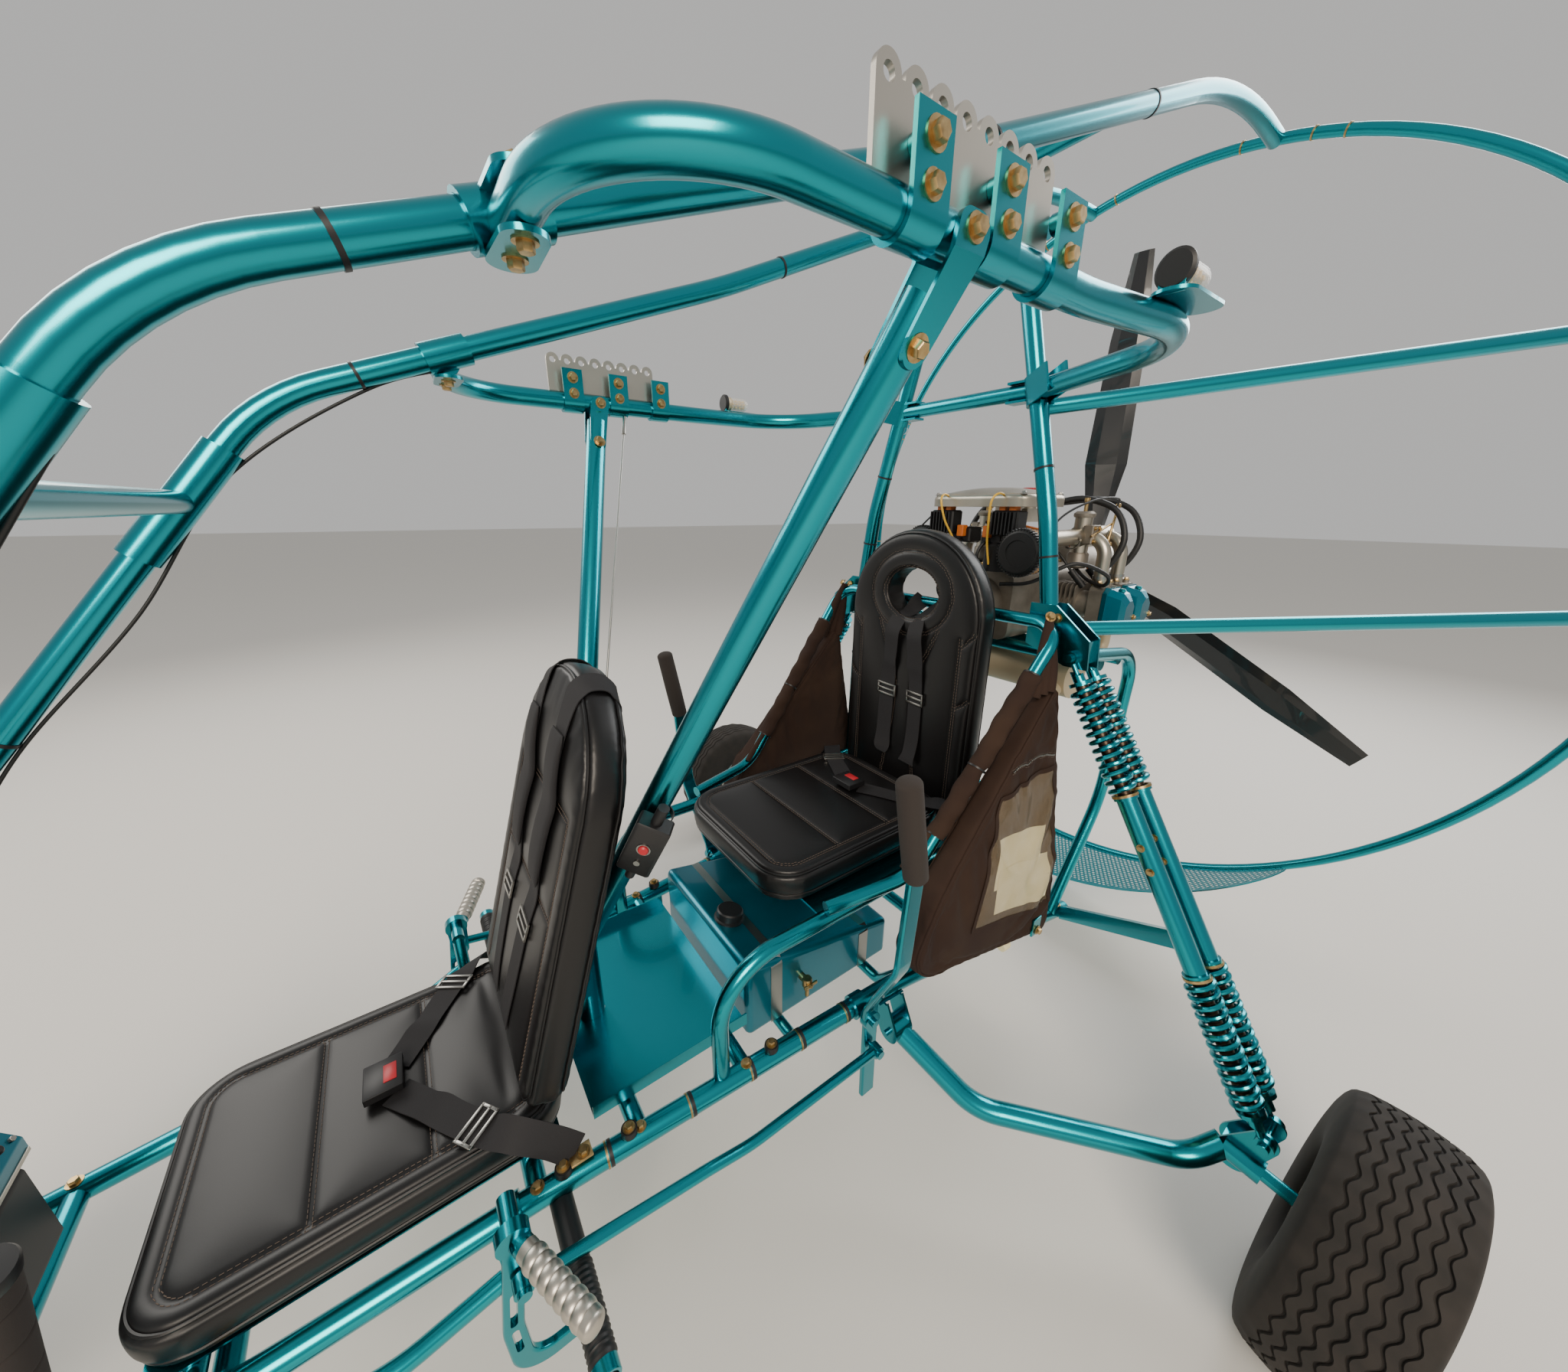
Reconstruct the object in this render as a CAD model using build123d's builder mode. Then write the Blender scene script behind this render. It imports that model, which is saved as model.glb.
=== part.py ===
"""Two-seat powered parachute trike, parked on its wheels.

Millimetres. +Z is up, -Y is the direction of flight and +X is the pilot's left. The origin lies on
the ground, midway between the nose tyre's front and the back of the propeller guard ring.
"""

import math
import os

from build123d import *

os.makedirs("parts", exist_ok=True)

# Tubes
MAIN_TUBE = 38.1
DIAGONAL_TUBE = 44.5
CROSS_TUBE = 31.8
GUARD_TUBE = 25.4
HOOP_TUBE = 28.6
SEAT = 0.3  # clearance left where one piece lies against another
PLATE = 5.0  # thickness of the bent sheet brackets
PIN_D = 10.0

# Propeller guard ring and propeller
RING_R = 1092.0
RING_Y = 1618.0
RING_Z = 1248.0
PROP_R = 880.0
PROP_Y = 1520.0
HUB_D = 150.0
HUB_LENGTH = 60.0

# Wheels
TYRE_R = 239.0
TYRE_W = 170.0
RIM_R = 105.0
TRACK = 2032.0
MAIN_Y = 698.0
NOSE_R = 200.0
NOSE_W = 120.0
NOSE_RIM_R = 88.0
AXLE_D = 25.0
NOSE_Y = NOSE_R - RING_Y - GUARD_TUBE / 2
HUB_BORE_GAP = 0.3

# Overhead rail, left side, from the guard ring down to the nose
RAIL_RING_X = 227.0
RAIL_TOP_Z = RING_Z + math.sqrt(RING_R**2 - RAIL_RING_X**2)
NOSE_CORNER = (175, -1490, 340)
LOWER_FRONT = (250, -400, 402)
SLEEVE_SHARE = 0.32  # how far the nose bend's tube reaches towards the lower rail's first corner
SLEEVE = tuple(a + SLEEVE_SHARE * (b - a) for a, b in zip(NOSE_CORNER, LOWER_FRONT))
OVERHEAD = [
    (RAIL_RING_X, RING_Y, RAIL_TOP_Z),
    (235, 1300, RAIL_TOP_Z),
    (272, 264, 1861),
    (284, -523, 1569),
    NOSE_CORNER,
    SLEEVE,
]
OVERHEAD_BENDS = [1150, 2000, 300, 120]
TOP_RUN = OVERHEAD[1:3][::-1]
MID_RUN = OVERHEAD[2:4][::-1]
FRONT_RUN = OVERHEAD[3:5][::-1]

# Lower rail, left side, from the nose sleeve to the back of the frame
LOWER = [SLEEVE, LOWER_FRONT, (310, 330, 425), (340, 1020, 300)]
LOWER_BENDS = [1500, 500]

# Upper side frame that carries the riser plate
OUTRIGGER_X = 514.0
OUTRIGGER_Z = 1650.0
OUTRIGGER_FRONT_Y = -270.0
OUTRIGGER_BENDS = [150, 600, 200]
BRACKET_Y = [0.0, 106.0, 212.0]
BRACKET_W = 44.0
EAR_TOP = 64.0
EAR_BOLT = 46.0
RISER_PLATE = 6.0
RISER_MID_Y = 77.0
RISER_PITCH = 31.75
RISER_HOLES = 8
RISER_HOLE_D = 12.7
RISER_ROW = 82.0  # height of the hole row over the tube's centre

# Uprights from the overhead rails, either side of the engine's front, down to the lower rails
UPRIGHT_Y = 753.0
UPRIGHT = [
    (78, UPRIGHT_Y + 20, 2062),
    (260, UPRIGHT_Y, 1400),
    (300, UPRIGHT_Y + 4, 1165),
    (329, UPRIGHT_Y + 12, 346),
]
UPRIGHT_BENDS = [600, 400]
CLAMP_Z = 1656.0

# Diagonals from the riser plates to the post behind the front seat
DIAGONAL_TOP = (497, 48, 1606)
DIAGONAL_FOOT = (0, -253, 592)
POST_Y = -240.0
POST_D = 50.0
POST_TOP = 700.0

# Seats
SEAT_W = 430.0
SEAT_THICK = 78.0
CUSHION_THICK = 76.0


def rod(start, end, size, mode=Mode.ADD):
    """A round bar of the given diameter from start to end, in the part being built."""
    start, end = Vector(*start), Vector(*end)
    with BuildSketch(Plane(origin=start, z_dir=end - start)) as disc:
        Circle(size / 2)
    extrude(disc.sketch, amount=(end - start).length, mode=mode)


def bent_tube(points, bends, size):
    """A round tube along straight runs joined by one bend for each inner point."""
    with BuildLine() as route:
        FilletPolyline(*points, radius=bends)
    with BuildSketch(Plane(origin=route.line @ 0, z_dir=route.line % 0)) as section:
        Circle(size / 2)
    sweep(section.sketch, path=route.line)


def bent_bar(points, bends, thick, width):
    """A flat bar along straight runs and bends, as thick as given along X and as wide across it."""
    with BuildLine() as route:
        FilletPolyline(*points, radius=bends)
    with BuildSketch(Plane(origin=route.line @ 0, x_dir=(1, 0, 0), z_dir=route.line % 0)) as section:
        RectangleRounded(thick, width, thick * 0.3)
    sweep(section.sketch, path=route.line)


def block(centre, size, mode=Mode.ADD):
    """A plain block about its centre."""
    with Locations(centre):
        Box(*size, mode=mode)


def save(piece, name):
    """Labels a finished piece and writes it."""
    piece.part.label = name
    export_step(piece.part, f"parts/{name}.step")


def save_pair(piece, name):
    """Writes a left-hand piece and its mirror image on the right."""
    save(piece, f"{name}_left")
    with BuildPart() as other_side:
        mirror(piece.part, about=Plane.YZ)
    save(other_side, f"{name}_right")


def save_both(piece, name):
    """Writes a left-hand piece and its mirror image as one node."""
    with BuildPart() as pair:
        add(piece.part)
        mirror(piece.part, about=Plane.YZ)
    save(pair, name)


def between(start, end, share):
    """The point a given share of the way from start to end."""
    return tuple(a + share * (b - a) for a, b in zip(start, end))


def along(points, y):
    """The point at a given y on the straight runs through the points, which go back along +Y."""
    runs = [run for run in zip(points, points[1:]) if run[0][1] <= y] or [(points[0], points[1])]
    start, end = runs[-1]
    return between(start, end, (y - start[1]) / (end[1] - start[1]))


def at_height(points, z):
    """The point at a given z on the straight runs that go down through the points."""
    runs = [run for run in zip(points, points[1:]) if run[0][2] >= z] or [(points[0], points[1])]
    start, end = runs[-1]
    return between(start, end, (z - start[2]) / (end[2] - start[2]))


def other(point):
    """The same point on the right-hand side."""
    return (-point[0], point[1], point[2])


def side_plane(x):
    """The plane across X, drawn on in Y and Z."""
    return Plane(origin=(x, 0, 0), x_dir=(0, 1, 0), z_dir=(1, 0, 0))


def cross_plane(y):
    """The plane across Y, drawn on in X and Z."""
    return Plane(origin=(0, y, 0), x_dir=(1, 0, 0), z_dir=(0, -1, 0))


def link(plane, first, second, first_r, second_r, thick):
    """A flat link with round ends about two centres, as thick as given about its plane."""
    with BuildSketch(plane) as face:
        with Locations(first):
            Circle(first_r)
        with Locations(second):
            Circle(second_r)
        make_hull()
    extrude(face.sketch, amount=thick / 2, both=True)


def slab(plane, outline, thick, mode=Mode.ADD):
    """A plate with the given outline, as thick as given about its plane."""
    with BuildSketch(plane) as face:
        with BuildLine():
            Polyline(*outline, close=True)
        make_face()
    extrude(face.sketch, amount=thick / 2, both=True, mode=mode)


# Propeller guard ring
RING_PLANE = Plane(origin=(0, RING_Y, RING_Z), x_dir=(1, 0, 0), z_dir=(0, -1, 0))
with BuildPart() as guard_ring:
    with Locations(RING_PLANE.location):
        Torus(RING_R, GUARD_TUBE / 2)
save(guard_ring, "guard_ring")


def cope_ring():
    """Cuts the saddle that fits round the guard ring."""
    with Locations(RING_PLANE.location):
        Torus(RING_R, GUARD_TUBE / 2 + SEAT, mode=Mode.SUBTRACT)


# Overhead and lower rails
with BuildPart() as overhead_rail:
    bent_tube(OVERHEAD, OVERHEAD_BENDS, MAIN_TUBE)
    cope_ring()
save_pair(overhead_rail, "overhead_rail")

with BuildPart() as lower_rail:
    bent_tube(LOWER, LOWER_BENDS, MAIN_TUBE)
save_both(lower_rail, "lower_rails")

# The space that each bent tube takes, with the seat clearance round it
TUBE_ROOM = MAIN_TUBE + 2 * SEAT
with BuildPart() as overhead_room:
    bent_tube(OVERHEAD, OVERHEAD_BENDS, TUBE_ROOM)
    mirror(about=Plane.YZ)
with BuildPart() as lower_room:
    bent_tube(LOWER, LOWER_BENDS, TUBE_ROOM)
    mirror(about=Plane.YZ)
with BuildPart() as upright_room:
    bent_tube(UPRIGHT, UPRIGHT_BENDS, TUBE_ROOM)
    mirror(about=Plane.YZ)


def cross_tube(y, points, room):
    """A tube from rail to rail at one y, with both ends coped to the rails."""
    end = along(points, y)
    rod(other(end), end, CROSS_TUBE)
    add(room.part, mode=Mode.SUBTRACT)


# Cross tubes between the overhead rails and between the uprights, with a collar round each upright
COLLAR = TUBE_ROOM + 2 * PLATE
CLAMP_H = 56.0
FRONT_CROSS_Y = -640.0
TOP_CROSS_Y = UPRIGHT[0][1]
CLAMP = at_height(UPRIGHT, CLAMP_Z)
CLAMP_LOW = at_height(UPRIGHT, CLAMP_Z - CLAMP_H)
CLAMP_HIGH = at_height(UPRIGHT, CLAMP_Z + CLAMP_H)
with BuildPart() as upper_cross_tubes:
    cross_tube(FRONT_CROSS_Y, FRONT_RUN, overhead_room)
    cross_tube(TOP_CROSS_Y, TOP_RUN, overhead_room)
    rod(other(CLAMP), CLAMP, CROSS_TUBE)
    for start, end in ((CLAMP_LOW, CLAMP_HIGH), (other(CLAMP_LOW), other(CLAMP_HIGH))):
        rod(start, end, COLLAR + 2 * SEAT, mode=Mode.SUBTRACT)
    sleeve = [along(FRONT_RUN, FRONT_CROSS_Y + reach) for reach in (-60, 60)]
    for start, end in (sleeve, [other(p) for p in sleeve]):
        rod(start, end, COLLAR + 2 * SEAT, mode=Mode.SUBTRACT)
save(upper_cross_tubes, "upper_cross_tubes")

# Lean of the front seat's back, whose rear face runs up from its foot
FRONT_BACK_FOOT = (0, -329, 498.2)
FRONT_BACK_LEAN = 16.4
FRONT_BACK_H = 684.0


def back_face(z):
    """The y and z of a point just behind the front seat's back, for what carries it."""
    return (FRONT_BACK_FOOT[1] + (z - FRONT_BACK_FOOT[2]) * math.tan(math.radians(FRONT_BACK_LEAN)) + SEAT, z)


# Cross tubes between the lower rails, the cradle under the tank and the post behind the front seat
FLOOR_CROSS_Y = [-1000.0, -760.0, -400.0, POST_Y, -40.0, 560.0, 985.0]
TANK_CRADLE_Y = (100.0, 354.0)
CRADLE_Z = 352.0
BACK_SHELF_Z = (500.0, 538.0)
with BuildPart() as lower_cross_tubes:
    for y in FLOOR_CROSS_Y:
        cross_tube(y, LOWER, lower_room)
    for y in TANK_CRADLE_Y:
        z = along(LOWER, y)[2]
        path = [(298, y, z), (240, y, CRADLE_Z), (-240, y, CRADLE_Z), (-298, y, z)]
        bent_tube(path, [40, 40], GUARD_TUBE)
    add(lower_room.part, mode=Mode.SUBTRACT)
    rod((0, POST_Y, along(LOWER, POST_Y)[2]), (0, POST_Y, POST_TOP), POST_D)
    shelf = [(POST_Y, z) for z in BACK_SHELF_Z] + [back_face(z) for z in BACK_SHELF_Z[::-1]]
    slab(side_plane(0), shelf, 60)
save(lower_cross_tubes, "lower_cross_tubes")

# Uprights
with BuildPart() as upright:
    bent_tube(UPRIGHT, UPRIGHT_BENDS, MAIN_TUBE)
    top = along(TOP_RUN, TOP_CROSS_Y)
    rod(other(top), top, CROSS_TUBE + 2 * SEAT, mode=Mode.SUBTRACT)
    block((78, TOP_CROSS_Y, top[2] + 60), (140, 140, 120), mode=Mode.SUBTRACT)
    add(lower_room.part, mode=Mode.SUBTRACT)
save_both(upright, "uprights")

# The clamp on each upright, which points out along the outrigger, and the space that it takes
OUTRIGGER_CORNER = (538, 597, 1656)
UP_AXIS = (Vector(*CLAMP_HIGH) - Vector(*CLAMP_LOW)).normalized()
OUT_DIR = Vector(*OUTRIGGER_CORNER) - Vector(*CLAMP)
OUT_DIR = (OUT_DIR - UP_AXIS * OUT_DIR.dot(UP_AXIS)).normalized()
CLAMP_PLANE = Plane(origin=Vector(*between(CLAMP_LOW, CLAMP_HIGH, 0.25)), x_dir=OUT_DIR, z_dir=UP_AXIS)
CLAMP_LEG = 64.0
with BuildPart() as clamp_room:
    with BuildSketch(CLAMP_PLANE) as band:
        Circle(COLLAR / 2 + SEAT)
        with Locations((CLAMP_LEG / 2, 0)):
            Rectangle(CLAMP_LEG, COLLAR + 2 * SEAT)
    extrude(band.sketch, amount=CLAMP_H)

# Outriggers, from the tabs on the overhead rails round to the collars on the uprights
RAIL_TAB = along(MID_RUN, OUTRIGGER_FRONT_Y)
RAIL_TAB_ENDS = [along(MID_RUN, OUTRIGGER_FRONT_Y + reach) for reach in (-34, 34)]
OUTRIGGER = [
    (RAIL_TAB[0], OUTRIGGER_FRONT_Y, OUTRIGGER_Z),
    (OUTRIGGER_X, OUTRIGGER_FRONT_Y, OUTRIGGER_Z),
    (OUTRIGGER_X, 300, OUTRIGGER_Z),
    OUTRIGGER_CORNER,
    CLAMP,
]
with BuildPart() as outrigger:
    bent_tube(OUTRIGGER, OUTRIGGER_BENDS, MAIN_TUBE)
    rod(CLAMP_LOW, CLAMP_HIGH, COLLAR + 2 * SEAT, mode=Mode.SUBTRACT)
    rod(*RAIL_TAB_ENDS, COLLAR + 2 * SEAT, mode=Mode.SUBTRACT)
save_pair(outrigger, "outrigger")

# Riser plate with its scalloped row of holes
RISER_BOTTOM = OUTRIGGER_Z + MAIN_TUBE / 2 + SEAT
RISER_ROW_Z = OUTRIGGER_Z + RISER_ROW
RISER_LENGTH = RISER_PITCH * (RISER_HOLES - 1)
with BuildPart() as riser_plate:
    with BuildSketch(side_plane(OUTRIGGER_X)) as outline:
        with Locations((RISER_MID_Y, (RISER_BOTTOM + RISER_ROW_Z) / 2)):
            Rectangle(RISER_LENGTH + RISER_PITCH - 4, RISER_ROW_Z - RISER_BOTTOM)
        with Locations((RISER_MID_Y, RISER_ROW_Z)):
            with GridLocations(RISER_PITCH, 1, RISER_HOLES, 1):
                Circle(RISER_PITCH / 2 - 2)
            with GridLocations(RISER_PITCH, 1, RISER_HOLES, 1):
                Circle(RISER_HOLE_D / 2, mode=Mode.SUBTRACT)
    extrude(outline.sketch, amount=RISER_PLATE / 2, both=True)
save_both(riser_plate, "riser_plates")

# Saddle brackets under the outrigger, with ears and spacers either side of the riser plate
SPACER_D = 20.0
with BuildPart() as saddle_brackets:
    for y in BRACKET_Y:
        with BuildSketch(cross_plane(y)) as profile:
            with Locations((OUTRIGGER_X, OUTRIGGER_Z)):
                Circle(COLLAR / 2)
            with Locations((OUTRIGGER_X, OUTRIGGER_Z + EAR_TOP / 2)):
                Rectangle(COLLAR, EAR_TOP)
            with Locations((OUTRIGGER_X, OUTRIGGER_Z)):
                Circle(TUBE_ROOM / 2, mode=Mode.SUBTRACT)
            with Locations((OUTRIGGER_X, OUTRIGGER_Z + EAR_TOP / 2)):
                Rectangle(TUBE_ROOM, EAR_TOP, mode=Mode.SUBTRACT)
        extrude(profile.sketch, amount=BRACKET_W / 2, both=True)
        for side in (-1, 1):
            z = OUTRIGGER_Z + EAR_BOLT
            start = (OUTRIGGER_X + side * (RISER_PLATE / 2 + SEAT), y, z)
            rod(start, (OUTRIGGER_X + side * (TUBE_ROOM / 2 + 1), y, z), SPACER_D)
save_both(saddle_brackets, "saddle_brackets")

# Diagonals and the post that they meet on
with BuildPart() as outrigger_room:
    bent_tube(OUTRIGGER, OUTRIGGER_BENDS, TUBE_ROOM)
with BuildPart() as diagonal:
    rod(DIAGONAL_TOP, DIAGONAL_FOOT, DIAGONAL_TUBE)
    rod((0, POST_Y, 300), (0, POST_Y, 900), POST_D + 2 * SEAT, mode=Mode.SUBTRACT)
    block((-200, POST_Y, 600), (400, 400, 800), mode=Mode.SUBTRACT)
    add(outrigger_room.part, mode=Mode.SUBTRACT)
save_both(diagonal, "diagonals")

# Brackets at the foot of the uprights and the struts that hang from them
FOOT = at_height(UPRIGHT, 1150)
STRUT_TOP = (372, FOOT[1], 1118)
KNUCKLE = (885, 722, 318)
STRUT = Vector(*KNUCKLE) - Vector(*STRUT_TOP)
STRUT_LENGTH = STRUT.length
STRUT_TUBE = 38.1
STRUT_ROD = 24.0
SPRING_D = 52.0
SPRING_LENGTH = 235.0
SPRING_START = 62.0
SPRING_TURNS = 10
EYE_D = 30.0
EYE_W = 12.0
EYE_GAP = PIN_D + 2 * SEAT
EYE_CLEAR = 60.0  # the cube round an eye that the strut's rod keeps out of
NECK_D = 10.0
NECK_LENGTH = 40.0
PLATE_Y = TUBE_ROOM / 2 + PLATE / 2  # from the upright's centre to the middle of each plate
STRUT_GAP = 2 * (TUBE_ROOM / 2 + PLATE + SEAT) + EYE_W
PIN_END = STRUT_GAP / 2 + EYE_W / 2 + SEAT


def strut_point(reach, offset):
    """A point on a strut, a distance down from its top eye."""
    point = Vector(*STRUT_TOP) + STRUT.normalized() * reach
    return (point.X, point.Y + offset, point.Z)


with BuildPart() as struts:
    for offset in (-STRUT_GAP / 2, STRUT_GAP / 2):
        rod(strut_point(12, offset), strut_point(STRUT_LENGTH - 12, offset), STRUT_ROD)
        tube_start = SPRING_START + SPRING_LENGTH + SEAT
        rod(strut_point(tube_start, offset), strut_point(STRUT_LENGTH - tube_start, offset), STRUT_TUBE)
        tube_end = STRUT_LENGTH - tube_start
        for collar in (tube_start, tube_end - 8, SPRING_START - 8, STRUT_LENGTH - SPRING_START):
            rod(strut_point(collar, offset), strut_point(collar + 8 - SEAT, offset), SPRING_D - 6)
        for reach in (0, STRUT_LENGTH):
            x, y, z = strut_point(reach, offset)
            block((x, y, z), (EYE_CLEAR, EYE_CLEAR, EYE_CLEAR), mode=Mode.SUBTRACT)
            rod((x, y - EYE_W / 2, z), (x, y + EYE_W / 2, z), EYE_D)
            rod(strut_point(reach + NECK_LENGTH * (1 if reach == 0 else -1), offset), (x, y, z), NECK_D)
            rod((x, y - EYE_W, z), (x, y + EYE_W, z), EYE_GAP, mode=Mode.SUBTRACT)
save_both(struts, "struts")

# Coil springs, each drawn as its ridged outline round the strut's rod
SPRING_PITCH = SPRING_LENGTH / SPRING_TURNS
with BuildPart() as coil:
    ridges = [(STRUT_ROD / 2 + SEAT, 0)]
    for turn in range(SPRING_TURNS):
        ridges += [(SPRING_D / 2 - 7, turn * SPRING_PITCH), (SPRING_D / 2, (turn + 0.5) * SPRING_PITCH)]
    ridges += [(SPRING_D / 2 - 7, SPRING_LENGTH), (STRUT_ROD / 2 + SEAT, SPRING_LENGTH)]
    with BuildSketch(Plane.XZ) as section:
        with BuildLine():
            Polyline(*ridges, close=True)
        make_face()
    revolve(section.sketch, axis=Axis.Z)
with BuildPart() as springs:
    for offset in (-STRUT_GAP / 2, STRUT_GAP / 2):
        for start in (SPRING_START, STRUT_LENGTH - SPRING_START - SPRING_LENGTH):
            with Locations(Plane(origin=strut_point(start, offset), z_dir=STRUT).location):
                add(coil.part)
save_both(springs, "springs")


def strut_pin(x, y, z):
    """The bolt through both strut eyes, with a head at each end."""
    rod((x, y - PIN_END, z), (x, y + PIN_END, z), PIN_D)
    for side in (-1, 1):
        rod((x, y + side * PIN_END, z), (x, y + side * (PIN_END + 7), z), 18)


FOOT_OUTLINE = [(-38, 72), (20, 72), (100, 8), (106, -54), (56, -54), (-38, -20)]
with BuildPart() as foot_bracket:
    for side in (-1, 1):
        outline = [(FOOT[0] + x, FOOT[2] + z) for x, z in FOOT_OUTLINE]
        slab(cross_plane(FOOT[1] + side * PLATE_Y), outline, PLATE)
    block((FOOT[0] + 92, FOOT[1], FOOT[2] - 20), (PLATE, 2 * PLATE_Y, 48))
    strut_pin(STRUT_TOP[0], STRUT_TOP[1], STRUT_TOP[2])
    add(upright_room.part, mode=Mode.SUBTRACT)
save_both(foot_bracket, "foot_brackets")

# Tubes under the rear seat, which rise from the lower rails and run back to a tube between the uprights
SUPPORT_X = 266.0
SUPPORT_Z = 655.0
SUPPORT_Y = -85.0
SUPPORT_POST = at_height(UPRIGHT, SUPPORT_Z)
PAN_Y = (150.0, 700.0)
FRONT_PAN_Z = 420.0
FRONT_LOOP = [(318, -450, 395), (300, -600, 335), (258, -770, 318), (250, -785, 405.5)]
with BuildPart() as seat_support:
    support = [(SUPPORT_X, SUPPORT_Y, along(LOWER, SUPPORT_Y)[2]), (SUPPORT_X, SUPPORT_Y, SUPPORT_Z)]
    bent_tube(support + [(SUPPORT_X, SUPPORT_POST[1] - 6, SUPPORT_Z)], [120], CROSS_TUBE)
    add(lower_room.part, mode=Mode.SUBTRACT)
with BuildPart() as seat_frames:
    add(seat_support.part)
    mirror(seat_support.part, about=Plane.YZ)
    bent_tube(FRONT_LOOP + [other(p) for p in FRONT_LOOP[::-1]], [250, 40, 35, 35, 40, 250], GUARD_TUBE)
    add(lower_room.part, mode=Mode.SUBTRACT)
    block((0, sum(PAN_Y) / 2, SUPPORT_Z), (2 * SUPPORT_X - 14, PAN_Y[1] - PAN_Y[0], PLATE))
    block((0, -590, FRONT_PAN_Z), (390, 480, 3))
    rod(other(SUPPORT_POST), SUPPORT_POST, CROSS_TUBE)
    add(upright_room.part, mode=Mode.SUBTRACT)
save(seat_frames, "seat_frames")

# Hoop that runs up the cargo bags, across behind the rear seat and down again
HOOP_Y = FOOT[1] - PLATE_Y - PLATE / 2 - SEAT - HOOP_TUBE / 2
HOOP_Z = 1185.0
HOOP_FOOT_Z = SUPPORT_Z + CROSS_TUBE / 2 + SEAT + HOOP_TUBE / 2
HOOP_SIDE = [(272, 150, HOOP_FOOT_Z), (312, 345, 700), (348, HOOP_Y, HOOP_Z)]
HOOP = HOOP_SIDE + [other(p) for p in HOOP_SIDE[::-1]]
HOOP_BENDS = [110, 60, 60, 110]
with BuildPart() as seat_hoop:
    bent_tube(HOOP, HOOP_BENDS, HOOP_TUBE)
save(seat_hoop, "seat_hoop")


def cushion(centre, size, corner, edge):
    """A plain cushion with rounded corners in plan and softened edges."""
    bottom = centre[2] - size[2] / 2
    with BuildSketch(Plane.XY.offset(bottom)) as plan:
        with Locations(centre[:2]):
            RectangleRounded(size[0], size[1], corner)
    extrude(plan.sketch, amount=size[2])
    fillet(faces().filter_by(Axis.Z).edges(), edge)


REAR_CUSHION_Y = (75.0, 610.0)
REAR_CUSHION_Z = SUPPORT_Z + PLATE / 2 + SEAT + CUSHION_THICK / 2
with BuildPart() as rear_cushion:
    length = REAR_CUSHION_Y[1] - REAR_CUSHION_Y[0]
    cushion((0, sum(REAR_CUSHION_Y) / 2, REAR_CUSHION_Z), (SEAT_W, length, CUSHION_THICK), 90, 22)
save(rear_cushion, "rear_cushion")

FRONT_CUSHION_Y = (-850.0, -330.0)
FRONT_CUSHION_Z = FRONT_PAN_Z + 1.5 + SEAT + CUSHION_THICK / 2
with BuildPart() as front_cushion:
    length = FRONT_CUSHION_Y[1] - FRONT_CUSHION_Y[0]
    cushion((0, sum(FRONT_CUSHION_Y) / 2, FRONT_CUSHION_Z), (SEAT_W - 20, length, CUSHION_THICK), 80, 22)
save(front_cushion, "front_cushion")


def seat_back(foot, rear_slope, height, width):
    """A seat back with a rounded top, standing on the point at the foot of its rear face."""
    plane = Plane(origin=foot, x_dir=(1, 0, 0), z_dir=(0, -1, math.tan(math.radians(rear_slope))))
    with BuildSketch(plane) as outline:
        with Locations((0, (height - width / 2) / 2)):
            Rectangle(width, height - width / 2)
        with Locations((0, height - width / 2)):
            Circle(width / 2)
    extrude(outline.sketch, amount=SEAT_THICK)
    fillet(edges().filter_by(GeomType.CIRCLE), 24)


REAR_BACK_FOOT = (0, HOOP_Y - HOOP_TUBE / 2 - SEAT, SUPPORT_Z + PLATE / 2 + SEAT)
REAR_BACK_TOP = 1375.0
HEADREST_Z = 1217.0
with BuildPart() as front_seat_back:
    seat_back(FRONT_BACK_FOOT, FRONT_BACK_LEAN, FRONT_BACK_H, SEAT_W - 20)
save(front_seat_back, "front_seat_back")

with BuildPart() as rear_seat_back:
    seat_back(REAR_BACK_FOOT, 0, REAR_BACK_TOP - REAR_BACK_FOOT[2], SEAT_W)
    with BuildSketch(cross_plane(800)) as hole:
        with Locations((0, HEADREST_Z)):
            Ellipse(78, 58)
    extrude(hole.sketch, amount=300, mode=Mode.SUBTRACT)
save(rear_seat_back, "rear_seat_back")

# Main wheels, leaning a little outwards at the top
CAMBER = 4.0
TYRE_SIDE = 26.0
CAMBER_RAD = math.radians(CAMBER)
WHEEL_DROP = (TYRE_R - TYRE_SIDE) * math.cos(CAMBER_RAD) + TYRE_SIDE
WHEEL_DROP += (TYRE_W / 2 - TYRE_SIDE) * math.sin(CAMBER_RAD)
HUB = (TRACK / 2, MAIN_Y, WHEEL_DROP)
HUB_AXIS = (math.cos(CAMBER_RAD), 0, -math.sin(CAMBER_RAD))
NOSE_HUB = (0, NOSE_Y, NOSE_R)


def wheel_profile(hub, axis):
    """The plane that holds a wheel's section: x runs out from the axle, y along it."""
    return Plane(origin=hub, x_dir=(0, 1, 0), z_dir=Vector(*axis).cross(Vector(0, 1, 0)) * -1)


def tyre(hub, axis, radius, width, rim_radius, corner):
    """A tyre with round shoulders on its rim seat."""
    plane = wheel_profile(hub, axis)
    with BuildSketch(plane) as section:
        with Locations(((radius + rim_radius) / 2, 0)):
            RectangleRounded(radius - rim_radius, width, corner)
    revolve(section.sketch, axis=Axis(hub, axis))


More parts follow.
